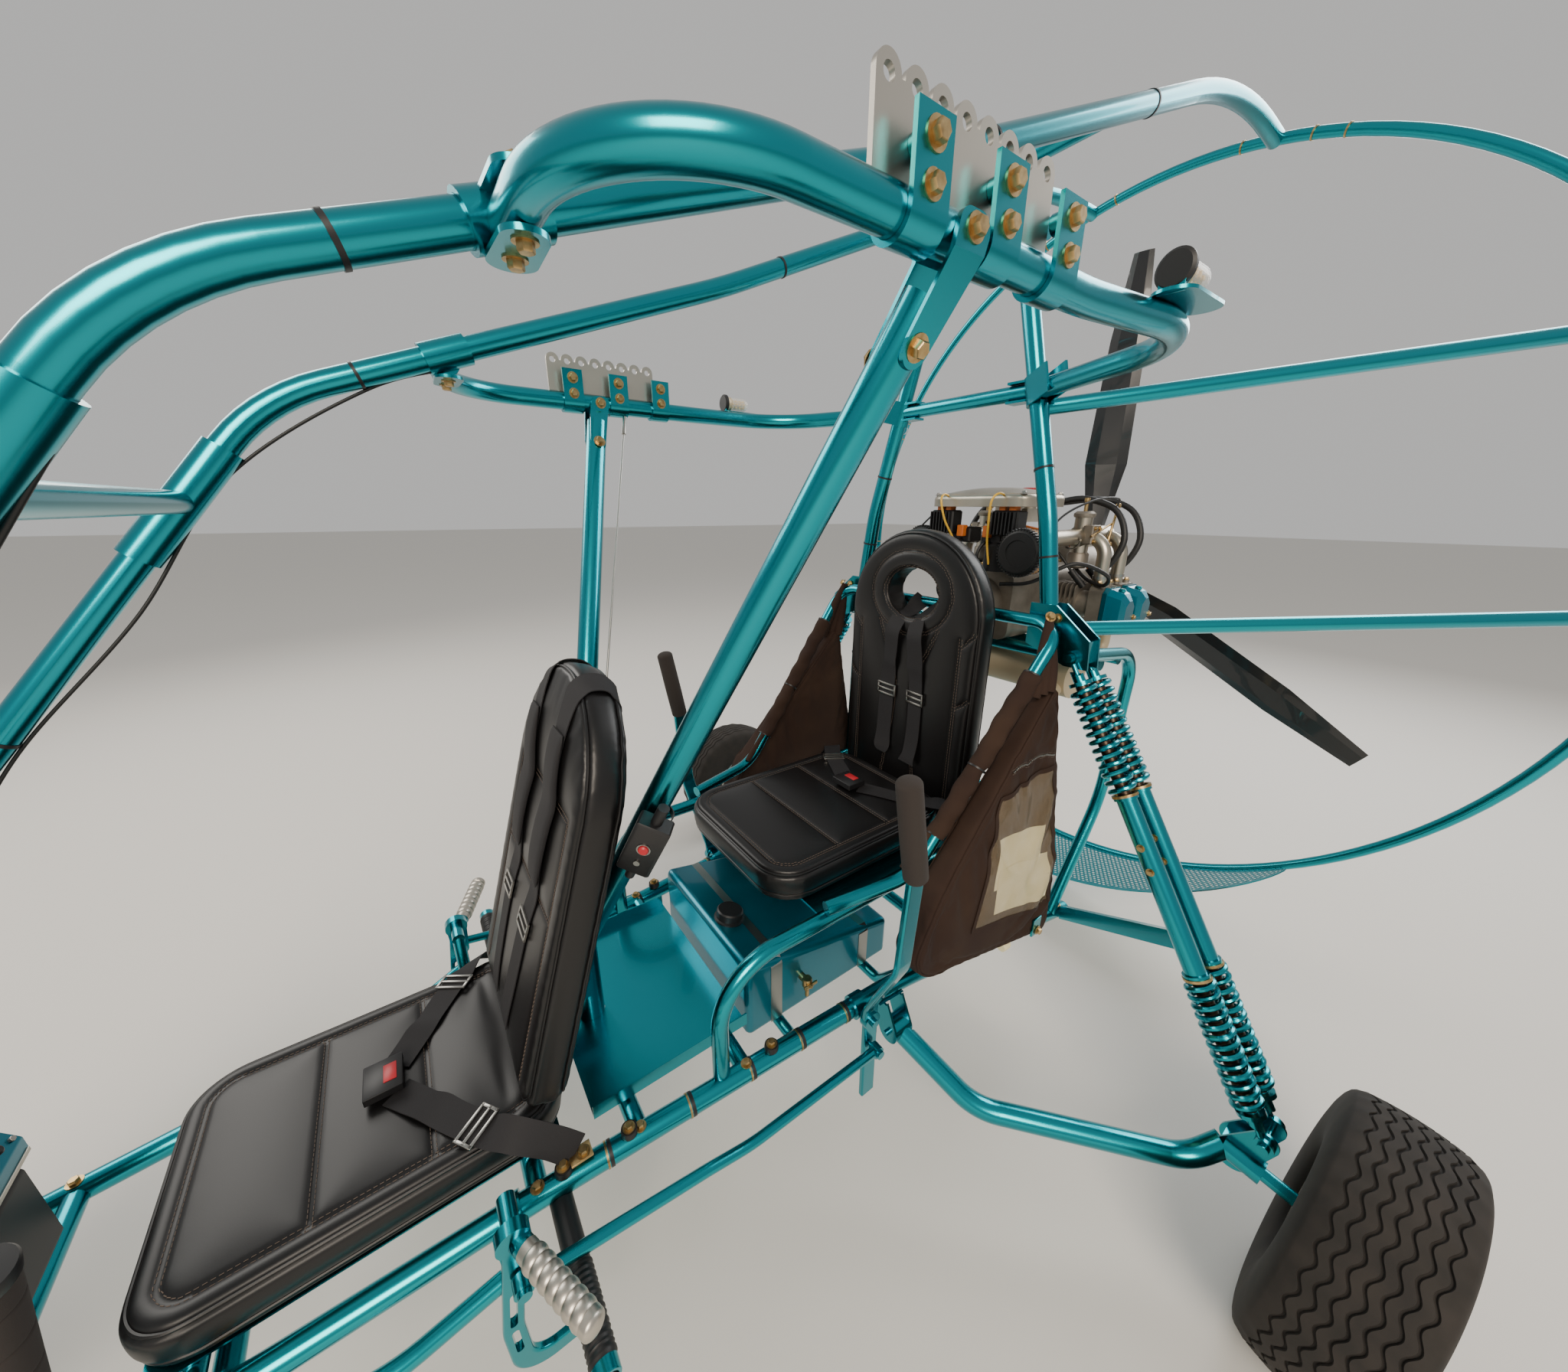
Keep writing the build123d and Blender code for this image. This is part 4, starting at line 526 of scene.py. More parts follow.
def inflate(points, faces, held, pressure, slack, cap, weight):
    """Air fills the cloth while the held points stay. No point moves further than cap."""
    made = bpy.data.objects.new("cloth", mesh_of(points, faces))
    bpy.context.scene.collection.objects.link(made)
    group = made.vertex_groups.new(name="held")
    group.add(np.nonzero(held)[0].tolist(), 1.0, "REPLACE")
    cloth = made.modifiers.new("cloth", "CLOTH")
    values = {"vertex_group_mass": "held", "use_pressure": True, "uniform_pressure_force": pressure}
    values.update(shrink_min=-slack, quality=4, mass=0.2, tension_stiffness=20.0, compression_stiffness=20.0)
    values.update(shear_stiffness=8.0, bending_stiffness=0.6)
    for key, value in values.items():
        setattr(cloth.settings, key, value)
    cloth.settings.effector_weights.gravity = weight
    cloth.point_cache.frame_start, cloth.point_cache.frame_end = 1, CLOTH_FRAMES
    for step in range(1, CLOTH_FRAMES + 1):
        bpy.context.scene.frame_set(step)
    move = evaluated(made)[1] - points
    bpy.context.scene.frame_set(1)
    length = np.linalg.norm(move, axis=1, keepdims=True)
    return points + move * np.minimum(1, cap / np.maximum(length, 1e-6))


def tree_of(points, faces):
    """A search tree over a surface."""
    return BVHTree.FromPolygons([tuple(p) for p in points.tolist()], faces)


def laid_on(tree, line, lift):
    """A line brought onto a surface and lifted off it."""
    found = [tree.find_nearest(Vector(p)) for p in np.asarray(line, float).tolist()]
    return np.array([at + normal * lift for at, normal, _, _ in found])


def dense(line, step, closed=False):
    """A line with its points evenly spaced."""
    line = np.vstack([line, line[:1]]) if closed else np.asarray(line, float)
    run = np.concatenate([[0], np.cumsum(np.linalg.norm(np.diff(line, axis=0), axis=1))])
    at = np.linspace(0, run[-1], max(int(run[-1] / step), 2) + 1)
    at = at[:-1] if closed else at
    return np.stack([np.interp(at, run, line[:, k]) for k in range(3)], 1)


def near(points, lines):
    """How far each point is from the nearest of some lines."""
    spots = np.vstack(lines)
    tree = KDTree(len(spots))
    for index, spot in enumerate(spots.tolist()):
        tree.insert(spot, index)
    tree.balance()
    return np.array([tree.find(p)[2] for p in points.tolist()])


def stuffed(mesh, voxel, seams, rests, pressure, cap, inset=4.0, slack=0.0, weight=0.0):
    """A padded form: its skin swells between the seams, and stays flat where it rests on something."""
    points, faces, normals = skin_of(mesh, voxel)
    tree = tree_of(points, faces)
    lines = [dense(laid_on(tree, line, 0), 3, closed) for line, closed in seams]
    resting = rests(points)
    gap = near(points, lines)
    points = points - normals * (np.where(resting, 0.5, inset) + 2.5 * np.exp(-((gap / 9) ** 2)))[:, None]
    points = inflate(points, faces, resting | (gap < voxel * 0.8), pressure, slack, cap, weight)
    points, faces, normals = baked(mesh_of(points, faces), ("SUBSURF", {"levels": 1, "render_levels": 1}))
    tree = tree_of(points, faces)
    lines = [dense(laid_on(tree, line, 0), 2, closed) for line, closed in seams]
    gap = near(points, lines)
    points = points - normals * (2.6 * np.exp(-((gap / 4.5) ** 2)))[:, None]
    return points, faces, lines


def welt(shells, line, radius):
    """A cord of covered piping along a closed seam."""
    line = dense(line, 5, True)
    for _ in range(2):
        line = (np.roll(line, 1, 0) + 2 * line + np.roll(line, -1, 0)) / 4
    line = np.vstack([line, line[:1]])
    shells.sweep(line, radius, 7)


def stitches(shells, tree, line, offset, closed, pitch=7.5):
    """A row of thread stitches beside a seam."""
    line = dense(line, pitch, closed)
    ahead = np.roll(line, -1, 0) if closed else np.gradient(line, axis=0) + line
    for at, then in zip(line.tolist(), ahead.tolist()):
        spot, normal, _, _ = tree.find_nearest(Vector(at))
        way = unit(np.subtract(then, at))
        aside = np.cross(way, np.array(normal))
        spot, normal, _, _ = tree.find_nearest(Vector(np.array(spot) + aside * offset))
        middle = np.array(spot) + np.array(normal) * 0.35
        shells.sweep(np.array([middle - way * 2.4, middle + way * 2.4]), 0.55, 5)


# Seats: panels of black vinyl with piped and stitched seams

FRONT_BACK = ((0.0, -329.0, 498.2), 16.4, 684.0, 410.0)  # foot of the rear face, lean, height and width
REAR_BACK = ((0.0, 704.4, 658.0), 0.0, 717.0, 430.0)
BACK_THICK = 78.0
HEADREST = (0.0, 626.0, 1217.0)  # middle of the opening, 78 by 58 in its half widths


def on_back(back, flat, depth):
    """Points of a seat back from their places across and up it, at a depth in front of its rear face."""
    foot, lean, _, _ = back
    s, c = math.sin(math.radians(lean)), math.cos(math.radians(lean))
    flat = np.asarray(flat, float)
    return np.array(foot) + flat[:, :1] * (1, 0, 0) + flat[:, 1:] * (0, s, c) + depth * np.array((0, -c, s))


def face_line(back, start, end, count):
    """A straight seam on the front of a seat back."""
    return on_back(back, np.linspace(start, end, count), BACK_THICK), False


def back_outline(back, inset, depth):
    """The closed line that keeps a distance from a seat back's outline."""
    _, _, height, width = back
    r, top = width / 2 - inset, height - width / 2
    angle = np.linspace(0, math.pi, 60)
    arch = np.stack([r * np.cos(angle), top + r * np.sin(angle)], 1)
    base = np.linspace((-r + 12, inset), (r - 12, inset), 40)
    return on_back(back, np.vstack([arch, [(-r, inset + 14)], base, [(r, inset + 14)]]), depth)


def oval(centre, across, tall, y):
    """A closed upright oval."""
    angle = np.linspace(0, 2 * math.pi, 73)[:-1]
    return np.stack([centre[0] + across * np.cos(angle), np.full(72, y), centre[2] + tall * np.sin(angle)], 1)


def node_box(name):
    """The low and high corners of a CAD node."""
    return [np.array(v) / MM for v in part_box(name)]


def cushion_outline(name, inset, corner, z):
    """The closed line that keeps a distance from a cushion's outline, at a height."""
    low, high = node_box(name)
    half = (high - low)[:2] / 2 - inset
    centre = (high + low)[:2] / 2
    r = max(corner - inset, 20)
    angle = np.linspace(0, math.pi / 2, 14)
    turn = []
    for quarter, (sx, sy) in enumerate(((1, 1), (-1, 1), (-1, -1), (1, -1))):
        a = angle + quarter * math.pi / 2
        middle = centre + np.array([sx, sy]) * (half - r)
        turn.append(np.stack([middle[0] + r * np.cos(a), middle[1] + r * np.sin(a), np.full(14, z)], 1))
    return np.vstack(turn)


seat_welts, seat_threads = Shells(), Shells()
TREES = {}  # the surfaces that the harness lies on


def seat_part(name, node_name, seams, rests, cap):
    """A seat's cushion or back in place of its CAD solid: the first two seams are piped, the others stitched."""
    points, faces, lines = stuffed(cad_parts[node_name].data.copy(), 8.5, seams, rests, 5.0, cap)
    made = form(name, points, faces, LEATHER)
    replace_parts(made, node_name)
    tree = tree_of(points, faces)
    for index, (line, (_, closed)) in enumerate(zip(lines, seams)):
        if index < 2:
            welt(seat_welts, laid_on(tree, line, 1.2), 2.6)
        else:
            for offset in (-4.0, 4.0):
                stitches(seat_threads, tree, line, offset, closed)
    return tree


# The corner radius of each cushion, and between which y its back stands on it
for word, corner, (start, end) in (("front", 80, (-410, -325)), ("rear", 90, (615, 700))):
    node_name = f"{word}_cushion"
    low, high = node_box(node_name)
    seams = [
        (cushion_outline(node_name, inset, corner, z), True)
        for inset, z in ((7, high[2] - 7), (3, low[2] + 15), (40, high[2]))
    ]
    for share in (0.36, 0.64):
        y = low[1] + (high[1] - low[1]) * share
        seams.append((np.linspace((low[0] + 42, y, high[2]), (high[0] - 42, y, high[2]), 60), False))

    def rests(p):
        return (p[:, 2] < low[2] + 9) | ((p[:, 1] > start) & (p[:, 1] < end))

    TREES[word, "cushion"] = seat_part(f"{word}_seat_cushion", node_name, seams, rests, 13.0)

for word, back in (("front", FRONT_BACK), ("rear", REAR_BACK)):
    foot, lean, height, width = back
    seams = [(back_outline(back, 6, BACK_THICK - 8), True), (back_outline(back, 4, 10), True)]
    half = width / 2 - 52
    if word == "front":
        for x in (-half, half):
            seams.append(face_line(back, (x, 24), (x, height - width / 2 - 10), 60))
        for up in (300, 470):
            seams.append(face_line(back, (-half, up), (half, up), 50))
        seams.append((back_outline(back, 46, 0), True))
    else:
        seams.append((oval(HEADREST, 82, 62, 628), True))
        seams.append((oval(HEADREST, 128, 104, 626), True))
        for side in SIDES:
            bend = [(side * 96, 480), (side * 70, 420), (side * 30, 330), (side * 34, 200), (side * 60, 40)]
            flat = smooth_line([(*p, 0) for p in bend], 60)[:, :2]
            seams.append((on_back(back, flat, BACK_THICK), False))
            seams.append(face_line(back, (side * half, 30), (side * half, 470), 60))
            for low, high in ((300, 326), (452, 486)):
                seams.append(face_line(back, (side * (half + 4), low), (side * (width / 2 - 12), high), 16))

    def rests(p):
        n = np.array((0, -math.cos(math.radians(lean)), math.sin(math.radians(lean))))
        return ((p - np.array(foot)) @ n < 8) | (p[:, 2] < foot[2] + 12)

    TREES[word, "back"] = seat_part(f"{word}_seat_pad", f"{word}_seat_back", seams, rests, 12.0)
piece("seat_piping", seat_welts, LEATHER)
piece("seat_stitching", seat_threads, THREAD)


# Cargo bags: brown coated cloth, hung from the hoop by a laced sleeve

BAG_SIDE = [(338, 690), (700, 1080), (722, 960), (838, 352), (318, 500), (268, 560)]
BAG_OUTER = [(300, 388), (330, 392), (640, 400), (1120, 374)]  # z and x of the outer face
BAG_INNER = [(300, 352), (440, 352), (520, 326), (1120, 326)]
HOOP_SIDE = [(272, 150, 689), (312, 345, 700), (348, 717.4, 1185)]


def bag_mesh():
    """The bag as a closed prism whose two faces lean as the section asks."""
    edge = dense([(0, y, z) for y, z in BAG_SIDE], 60, True)
    faces = [list(range(len(edge)))[::-1], [i + len(edge) for i in range(len(edge))]]
    faces += grid_faces(2, len(edge))
    points = []
    for section in (BAG_INNER, BAG_OUTER):
        z, x = zip(*section)
        skin = edge.copy()
        skin[:, 0] = np.interp(edge[:, 2], z, x)
        points.append(skin)
    return mesh_of(np.vstack(points), faces)


def outer_edge(inset, section):
    """The closed line a distance in from the bag's outline, on one of its faces."""
    edge = np.array(BAG_SIDE, float)
    middle = edge.mean(0)
    edge = middle + (edge - middle) * (1 - inset / 250)
    z, x = zip(*section)
    return dense([(np.interp(b, z, x), a, b) for a, b in edge], 12, True)


FLAP_LINE = [(556, 902), (610, 906), (670, 905), (724, 898)]  # y and z of the zip under the top
flap = np.array([(394, y, z) for y, z in FLAP_LINE], float)
bag_seams = [(outer_edge(6, BAG_OUTER), True), (outer_edge(6, BAG_INNER), True), (dense(flap, 8), False)]


def bag_rests(p):
    """The bag is held along its sleeve and at its corners."""
    top = near(p, [dense(np.array([(346, 338, 690), (350, 700, 1080)], float), 4)]) < 34
    corners = near(p, [np.array([(370, y, z) for y, z in BAG_SIDE], float)]) < 26
    return top | corners


points, faces, lines = stuffed(bag_mesh(), 9.0, bag_seams, bag_rests, 1.6, 12.0, 3.0, 0.035, 0.6)
BAG_TREE = tree_of(points, faces)
bag_edges, bag_threads, bag_zips = Shells(), Shells(), Shells()
for index, radius in ((0, 2.8), (1, 2.4)):
    welt(bag_edges, laid_on(BAG_TREE, lines[index], 1.0), radius)
for offset in (-5.5, 5.5):
    stitches(bag_threads, BAG_TREE, lines[2], offset, False, 6.5)
zip_line = laid_on(BAG_TREE, dense(lines[2], 5), 1.2)
for at, then in zip(zip_line[:-1], zip_line[1:]):
    way = unit(then - at)
    axes = np.array([way, np.cross((1, 0, 0), way), (1, 0, 0)])
    bag_zips.block((at + then) / 2, (np.linalg.norm(then - at) * 0.5, 3.6, 2.4), axes)


def draped(corners, lift, ripple, rows=20, columns=16, thick=0.4):
    """A thin sheet laid on the bag's outer face between four corners, which run round from the top front.
    Its middle stands off the cloth by the ripple, with shallow waves and puckers along its front hem."""
    a, b, c, d = np.array(corners, float)
    v, u = np.meshgrid(np.linspace(0, 1, rows), np.linspace(0, 1, columns), indexing="ij")
    spots = (a * (1 - u)[..., None] + b * u[..., None]) * (1 - v)[..., None]
    spots = spots + (d * (1 - u)[..., None] + c * u[..., None]) * v[..., None]
    inward = Vector((-1, 0, 0))
    hits = [BAG_TREE.ray_cast(Vector((430.0, *p)), inward)[0] for p in spots.reshape(-1, 2).tolist()]
    face = np.array([hit.x if hit else 388.0 for hit in hits]).reshape(rows, columns)
    eased = face.copy()
    for _ in range(8):
        padded = np.pad(eased, 1, mode="edge")
        sides = padded[:-2, 1:-1] + padded[2:, 1:-1] + padded[1:-1, :-2] + padded[1:-1, 2:]
        eased = (sides + 4 * eased) / 8
    rise = np.minimum(1, 12 * np.minimum(np.minimum(u, 1 - u), np.minimum(v, 1 - v)))
    wave = 0.45 * np.sin(u * 7 + v * 5) * np.sin(v * 12 - u * 3)
    wave += 0.4 * np.exp(-u / 0.16) * np.sin(v * 46 + u * 9)
    out = np.maximum(face, eased) + lift + ripple * rise * (1 + wave)
    front = np.concatenate([out[..., None], spots], -1)
    net = [f[::-1] for f in grid_faces(rows, columns, wrap_columns=False)]
    skin = front.reshape(-1, 3)
    return (*walled(skin, skin - (thick, 0, 0), net), front)


def ribbon(line, width, thick):
    """A flat closed band that lies along a line on the bag's outer face."""
    line = dense(line, 6, True)
    ahead = unit(np.roll(line, -1, 0) - np.roll(line, 1, 0))
    out = np.array([1.0, 0, 0])
    aside = unit(np.cross(out, ahead))
    rounds = [line + aside * a * width / 2 + out * b * thick for a, b in ((-1, 0), (1, 0), (1, 1), (-1, 1))]
    return np.stack(rounds, 1).reshape(-1, 3), grid_faces(len(line), 4, wrap_rows=True)


POCKET = np.array([(522, 850), (716, 872), (796, 470), (450, 567)], float)  # y and z of its corners


def in_pocket(*shares):
    """Corners of a sheet from their shares across and down the pocket."""
    a, b, c, d = POCKET
    return [(a * (1 - u) + b * u) * (1 - v) + (d * (1 - u) + c * u) * v for u, v in shares]


pocket, pocket_net, cloth = draped(POCKET, 1.2, 3.4, 64, 32, 0.5)
letter = draped(in_pocket((0.12, 0.33), (0.83, 0.36), (0.84, 0.72), (0.15, 0.72)), 0.8, 0)
card = draped(in_pocket((0.17, 0.56), (0.93, 0.59), (0.92, 0.93), (0.21, 0.92)), 1.6, 0)
hem_line = np.vstack([cloth[0], cloth[1:, -1], cloth[-1, ::-1][1:], cloth[::-1, 0][1:-1]])
binding = ribbon(laid_on(BAG_TREE, hem_line, 1.6), 12.0, 1.0)

SLEEVE_TIES = (502, 378, 672)  # y of each
sleeve_line = dense(np.array([HOOP_SIDE[1], HOOP_SIDE[2]], float), 4)
sleeve_line = sleeve_line[int(len(sleeve_line) * 0.16) : int(len(sleeve_line) * 0.8)]
turn = np.linspace(0, 2 * math.pi, 33)[:-1]
along = np.linspace(0, 1, len(sleeve_line))[:, None]
bulge = 20.0 + 1.3 * np.sin(along * 46 + 2 * np.sin(turn)) + 0.9 * np.sin(3 * turn + along * 17)
pinch = sum(np.exp(-(((sleeve_line[:, 1] - y) / 9) ** 2)) for y in SLEEVE_TIES)
bulge = bulge - 2.6 * pinch[:, None]
across, up = carried_frames(sleeve_line)
ring = circle(across[:, None], up[:, None], turn)
skin = sleeve_line[:, None] + ring * bulge[..., None]
lining = sleeve_line[::-1][:, None] + ring[::-1] * 15.4
sleeve = np.vstack([skin, lining])
sleeve_net = grid_faces(len(sleeve), 32, wrap_rows=True)

for side, word in NAMED_SIDES:
    mirror = np.array([side, 1, 1])
    bag = form(f"cargo_bag_cloth_{word}", points * mirror, turned_over(faces, side), CLOTH)
    wall = sleeve.reshape(-1, 3) * mirror
    form(f"bag_sleeve_{word}", wall, turned_over(sleeve_net, side), CLOTH)
    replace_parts(bag, f"cargo_bag_{word}")
    for name, skin, net, look in (
        (f"bag_binding_{word}", np.concatenate(bag_edges.points), bag_edges.faces, CLOTH),
        (f"bag_stitching_{word}", np.concatenate(bag_threads.points), bag_threads.faces, THREAD),
        (f"bag_zip_{word}", np.concatenate(bag_zips.points), bag_zips.faces, STEEL),
        (f"bag_pocket_{word}", pocket, pocket_net, VINYL),
        (f"bag_letter_{word}", *letter[:2], PAPER),
        (f"bag_card_{word}", *card[:2], PAPER),
        (f"pocket_binding_{word}", *binding, CLOTH),
    ):
        form(name, skin * mirror, turned_over(net, side), look)
    ties = Shells()
    for y in SLEEVE_TIES:
        middle = sleeve_line[np.argmin(abs(sleeve_line[:, 1] - y))] * mirror
        ties.hoop(17.6, 20.4, -1.8, 1.8, middle, unit((sleeve_line[-1] - sleeve_line[0]) * mirror))
    piece(f"sleeve_ties_{word}", ties, PLASTIC)


# Small parts that repeat


def band(shells, line, axis, value, inner, outer, width):
    """A ring round a tube where its line has the given coordinate."""
    a, b = run_at(line, axis, value)
    shells.hoop(inner, outer, -width / 2, width / 2, on_line(line, axis, value), unit(b - a))


def hose(name, points, radius, look, body="frame"):
    """A free hose or cable along a smooth line, from one fitting to another."""
    path = dense(smooth_line(points, 30 * len(points)), max(radius * 1.5, 4))
    shells = Shells()
    shells.sweep(path, radius, 10)
    made = piece(name, shells, look, body)


# Perforated guard in the lower arc of the ring

GUARD_ARC = 40.0
GUARD_DEPTH = 290.0
GUARD_REAR = RING[1] - 13.0
HOLE_PITCH = 14.0
HOLE_R = 4.6


def round_ring(along_arc, y, lift):
    """Points on the ring's cylinder from the distance along its arc and y."""
    turn = np.asarray(along_arc, float) / RING[0] - math.pi / 2
    r = RING[0] + lift
    return np.stack([r * np.cos(turn), np.broadcast_to(y, turn.shape), RING[2] + r * np.sin(turn)], -1)


def guard_reach(arc, margin=0.0):
    """How far forward the guard runs at a distance along its arc."""
    x = np.sin(np.asarray(arc) / RING[0]) * RING[0]
    half = RING[0] * math.sin(math.radians(GUARD_ARC)) - margin
    return (GUARD_DEPTH - margin) * np.sqrt(np.maximum(1 - (x / half) ** 2, 0))


arc_end = RING[0] * math.radians(GUARD_ARC)
rows = np.arange(0, GUARD_DEPTH, HOLE_PITCH * math.sqrt(3) / 2)
centres = []
for index, down in enumerate(rows):
    arc = np.arange(-arc_end, arc_end, HOLE_PITCH) + (HOLE_PITCH / 2 if index % 2 else 0)
    arc = arc[guard_reach(arc, 12) > down + 8]
    centres += [(a, down + 8) for a in arc]
centres = np.array(centres)
spoke = np.arange(6) * math.pi / 3 + math.pi / 6
spoke = np.stack([np.cos(spoke), np.sin(spoke)], 1)
outer = centres[:, None] + spoke * HOLE_PITCH / math.sqrt(3)
inner = centres[:, None] + spoke * HOLE_R
cells = np.concatenate([outer, inner], 1).reshape(-1, 2)
spots, index = np.unique(np.round(cells, 2), axis=0, return_inverse=True)
index = index.reshape(-1, 12)
quads = [[c[k], c[(k + 1) % 6], c[6 + (k + 1) % 6], c[6 + k]] for c in index.tolist() for k in range(6)]
guard_y = GUARD_REAR - spots[:, 1]
guard = Shells()
guard.add(*walled(round_ring(spots[:, 0], guard_y, -0.8), round_ring(spots[:, 0], guard_y, 0.8), quads))
made = piece("perforated_guard", guard, TEAL, smooth=False)
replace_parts(made, "guard_mesh")


def guard_strip(shells, arc, far, close, lifts):
    """A thin strip along the guard, between two distances forward of its rear edge."""
    front, back = [np.stack([round_ring(arc, GUARD_REAR - v, lift) for v in (far, close)], 1) for lift in lifts]
    net = [f[::-1] for f in grid_faces(len(arc), 2, wrap_columns=False)]
    shells.add(*walled(front.reshape(-1, 3), back.reshape(-1, 3), net))


edge = Shells()
arc = np.linspace(-arc_end * 0.992, arc_end * 0.992, 160)
reach = guard_reach(arc)
guard_strip(edge, arc, reach, np.maximum(reach - 15, 0), (-1.6, 1.6))
guard_strip(edge, np.linspace(-330, -150, 16), 150, 60, (-2.4, -1.2))
piece("guard_edge", edge, TEAL)


# Navigation lamps: a clear dome over amber diodes, on a bent plate

LAMP = (551.0, 430.0, 1695.0)
bend = np.linspace(0, QUARTER, 12)
DOME = [(14.8, 14), (16.6, 14)] + [(16.4 * math.cos(t) + CORE, 58 + 16 * math.sin(t)) for t in bend]
DOME += [(14.6 * math.cos(t) + CORE, 58 + 14.4 * math.sin(t)) for t in bend[::-1]]
turn = np.linspace(0, 2 * math.pi, 49)[:-1]
outline = np.stack([26 * np.cos(turn), np.where(np.sin(turn) > 0, 41.0, -41.0) + 24 * np.sin(turn)], 1)
plate_foot = np.array([LAMP[0], 480, 1670]) + np.column_stack([outline, np.zeros(48)])
plate_skin, plate_net = walled(plate_foot + (0, 0, 4), plate_foot, [list(range(48))])
for side, word in NAMED_SIDES:
    x, y, z = flip(LAMP, side)
    plate = Shells()
    plate.add(plate_skin * (side, 1, 1), turned_over(plate_net, side))
    plate.block((x, 427, 1680), (30, 4, 22))
    made = piece(f"lamp_plate_{word}", plate, TEAL)
    if side == 1:
        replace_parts(made, "nav_lights")
    at, rear = (x, y, z), (0, 1, 0)
    turned_piece(f"lamp_collar_{word}", [(20, 0), (20, 5), (17, 9), (17, 16)], at, rear, 40, CERAMIC)
    turned_piece(f"lamp_gasket_{word}", [(19, -6), (22.5, -3), (22.5, 2.5)], at, rear, 40, HOSE)
    dome, diodes = Shells(), Shells()
    dome.turned(DOME, at, rear, 40)
    piece(f"lamp_dome_{word}", dome, GLASS)
    turned_piece(f"lamp_post_{word}", [(8, 14), (8, 62)], at, rear, 24, CERAMIC)
    for level in (22, 34, 46, 57):
        for turn in full_turn(6):
            diodes.block((x + 8.6 * math.cos(turn), y + level, z + 8.6 * math.sin(turn)), (5, 6, 5))
    piece(f"lamp_diodes_{word}", diodes, AMBER)


# Grips, handles and foot pegs

LEVER_GRIP = ((443.0, 190.0, 850.0), (441.0, 156.0, 1028.0))
CRANK_GRIP = ((340.0, -436.0, 494.0), (480.0, -378.0, 496.0))
STICK_GRIP = ((332.0, -802.0, 672.0), (352.0, -765.0, 850.0))
PEG = (0.0, -373.0, 386.0)  # the foot pegs' axis crosses the middle plane here
for side, word in NAMED_SIDES:
    low, high = [flip(p, side) for p in LEVER_GRIP]
    length = np.linalg.norm(high - low)
    shape = [(CORE, -2), (19, -2), (21, 1), (21.4, length * 0.4), (20.8, length + 1)]
    shape += [(20.6 * math.cos(t) + CORE, length + 1 + 11 * math.sin(t)) for t in np.linspace(0.15, QUARTER, 9)]
    grip, handle = Shells(), Shells()
    grip.turned(shape, low, high - low, 32)
    piece(f"lever_foam_{word}", grip, FOAM, f"lever_{word}")
    start, end = [flip(p, side) for p in CRANK_GRIP]
    length = np.linalg.norm(end - start)
    at = np.linspace(34, length - 8, 7 * 10 + 1)
    ribs = 14.8 + 2.4 * np.abs(np.sin((at - 34) / (length - 42) * 7 * math.pi)) ** 0.6
    shape = [(CORE, 22), (14.6, 22), (14.6, 34), *zip(ribs, at), (16.2, length - 7)]
    shape += [(16 * math.cos(t) + CORE, length + 1 + 9 * math.sin(t)) for t in np.linspace(0, QUARTER, 10)]
    handle.turned(shape, start, end - start, 36)
    piece(f"crank_handle_{word}", handle, ALLOY, f"hand_crank_{word}")
    peg, tip = Shells(), Shells()
    at = np.linspace(362, 474, 57)
    ribs = 17.5 + 1.2 * (np.sin((at - 362) / 112 * 14 * 2 * math.pi) > 0)
    peg.turned([(16.6, 362), *zip(ribs, at), (16.6, 474)], PEG, (side, 0, 0), 36)
    piece(f"peg_rubber_{word}", peg, HOSE)
    tip.turned([(13.5, 474), (17.6, 474), (17.6, 490), (16.8, 491), (13.5, 491)], PEG, (side, 0, 0), 36)
    piece(f"peg_tip_{word}", tip, TEAL)

low, high = [np.array(p) for p in STICK_GRIP]
way = unit(high - low)
length = np.linalg.norm(high - low)
at = np.linspace(6, length + 1, 121)
GRIP_GROOVES = length * np.array([0.14, 0.38, 0.62, 0.86])
# The radius is the smooth grip's, less a narrow bell curve at each groove
grooved = 21 - 1.4 * np.exp(-((at[:, None] - GRIP_GROOVES) / 1.3) ** 2).sum(1)
turned_piece("stick_grip", [(22, 0), (22, 6), *zip(grooved, at)], low, high - low, 36, FOAM, "steering_stick")
cap_line = [(r, length + up) for r, up in ((21.6, 1), (22.4, 3), (22.4, 12), (21, 14.5), (CORE, 15))]
stick_cap = Shells()
stick_cap.turned([(CORE, length + 1), *cap_line], low, high - low, 36)
piece("stick_cap", stick_cap, PLASTIC, "steering_stick")
clamp, brake, screws = Shells(), Shells(), Shells()
clamp.hoop(19.2, 23.5, -30, -8, low, way)
clamp.block(low + (-14, -24, -16), (20, 28, 20))
blade = [(322, -828, 660), (322, -850, 672), (318, -866, 704), (325, -864, 742), (322, -876, 786)]
blade = smooth_line(blade, 44)
brake.sweep(blade, np.interp(np.arange(44), (0, 8, 26, 43), (8.0, 6.0, 4.6, 5.2)), 14)
brake.turned([(CORE, -7.5), (5, -6), (7.5, 0), (5, 6), (CORE, 7.5)], blade[-1], (0, -0.3, 1), 20)
for out in SIDES:
    screws.bolt(low + (-14 + 10 * out, -30, -16), (out, 0, 0), 8, washer=False)
    screws.rod(low + way * -19 + (0, 23 * out, 0), low + way * -19 + (0, 26 * out, 0), 3.6, 16)
screws.solid([(6, 0), (6, 9), (4.2, 11), (4.2, 22)], (317, -832, 650), (0, -0.12, -1), 24)
piece("brake_clamp", clamp, PLASTIC, "steering_stick")
piece("brake_lever", brake, ALLOY, "steering_stick")
piece("brake_screws", screws, STEEL, "steering_stick")
run = [(317, -834, 632), (315, -848, 596), (312, -854, 550)]
run += [(312, -856, 500), (313, -862, 456), (313, -862, 424)]
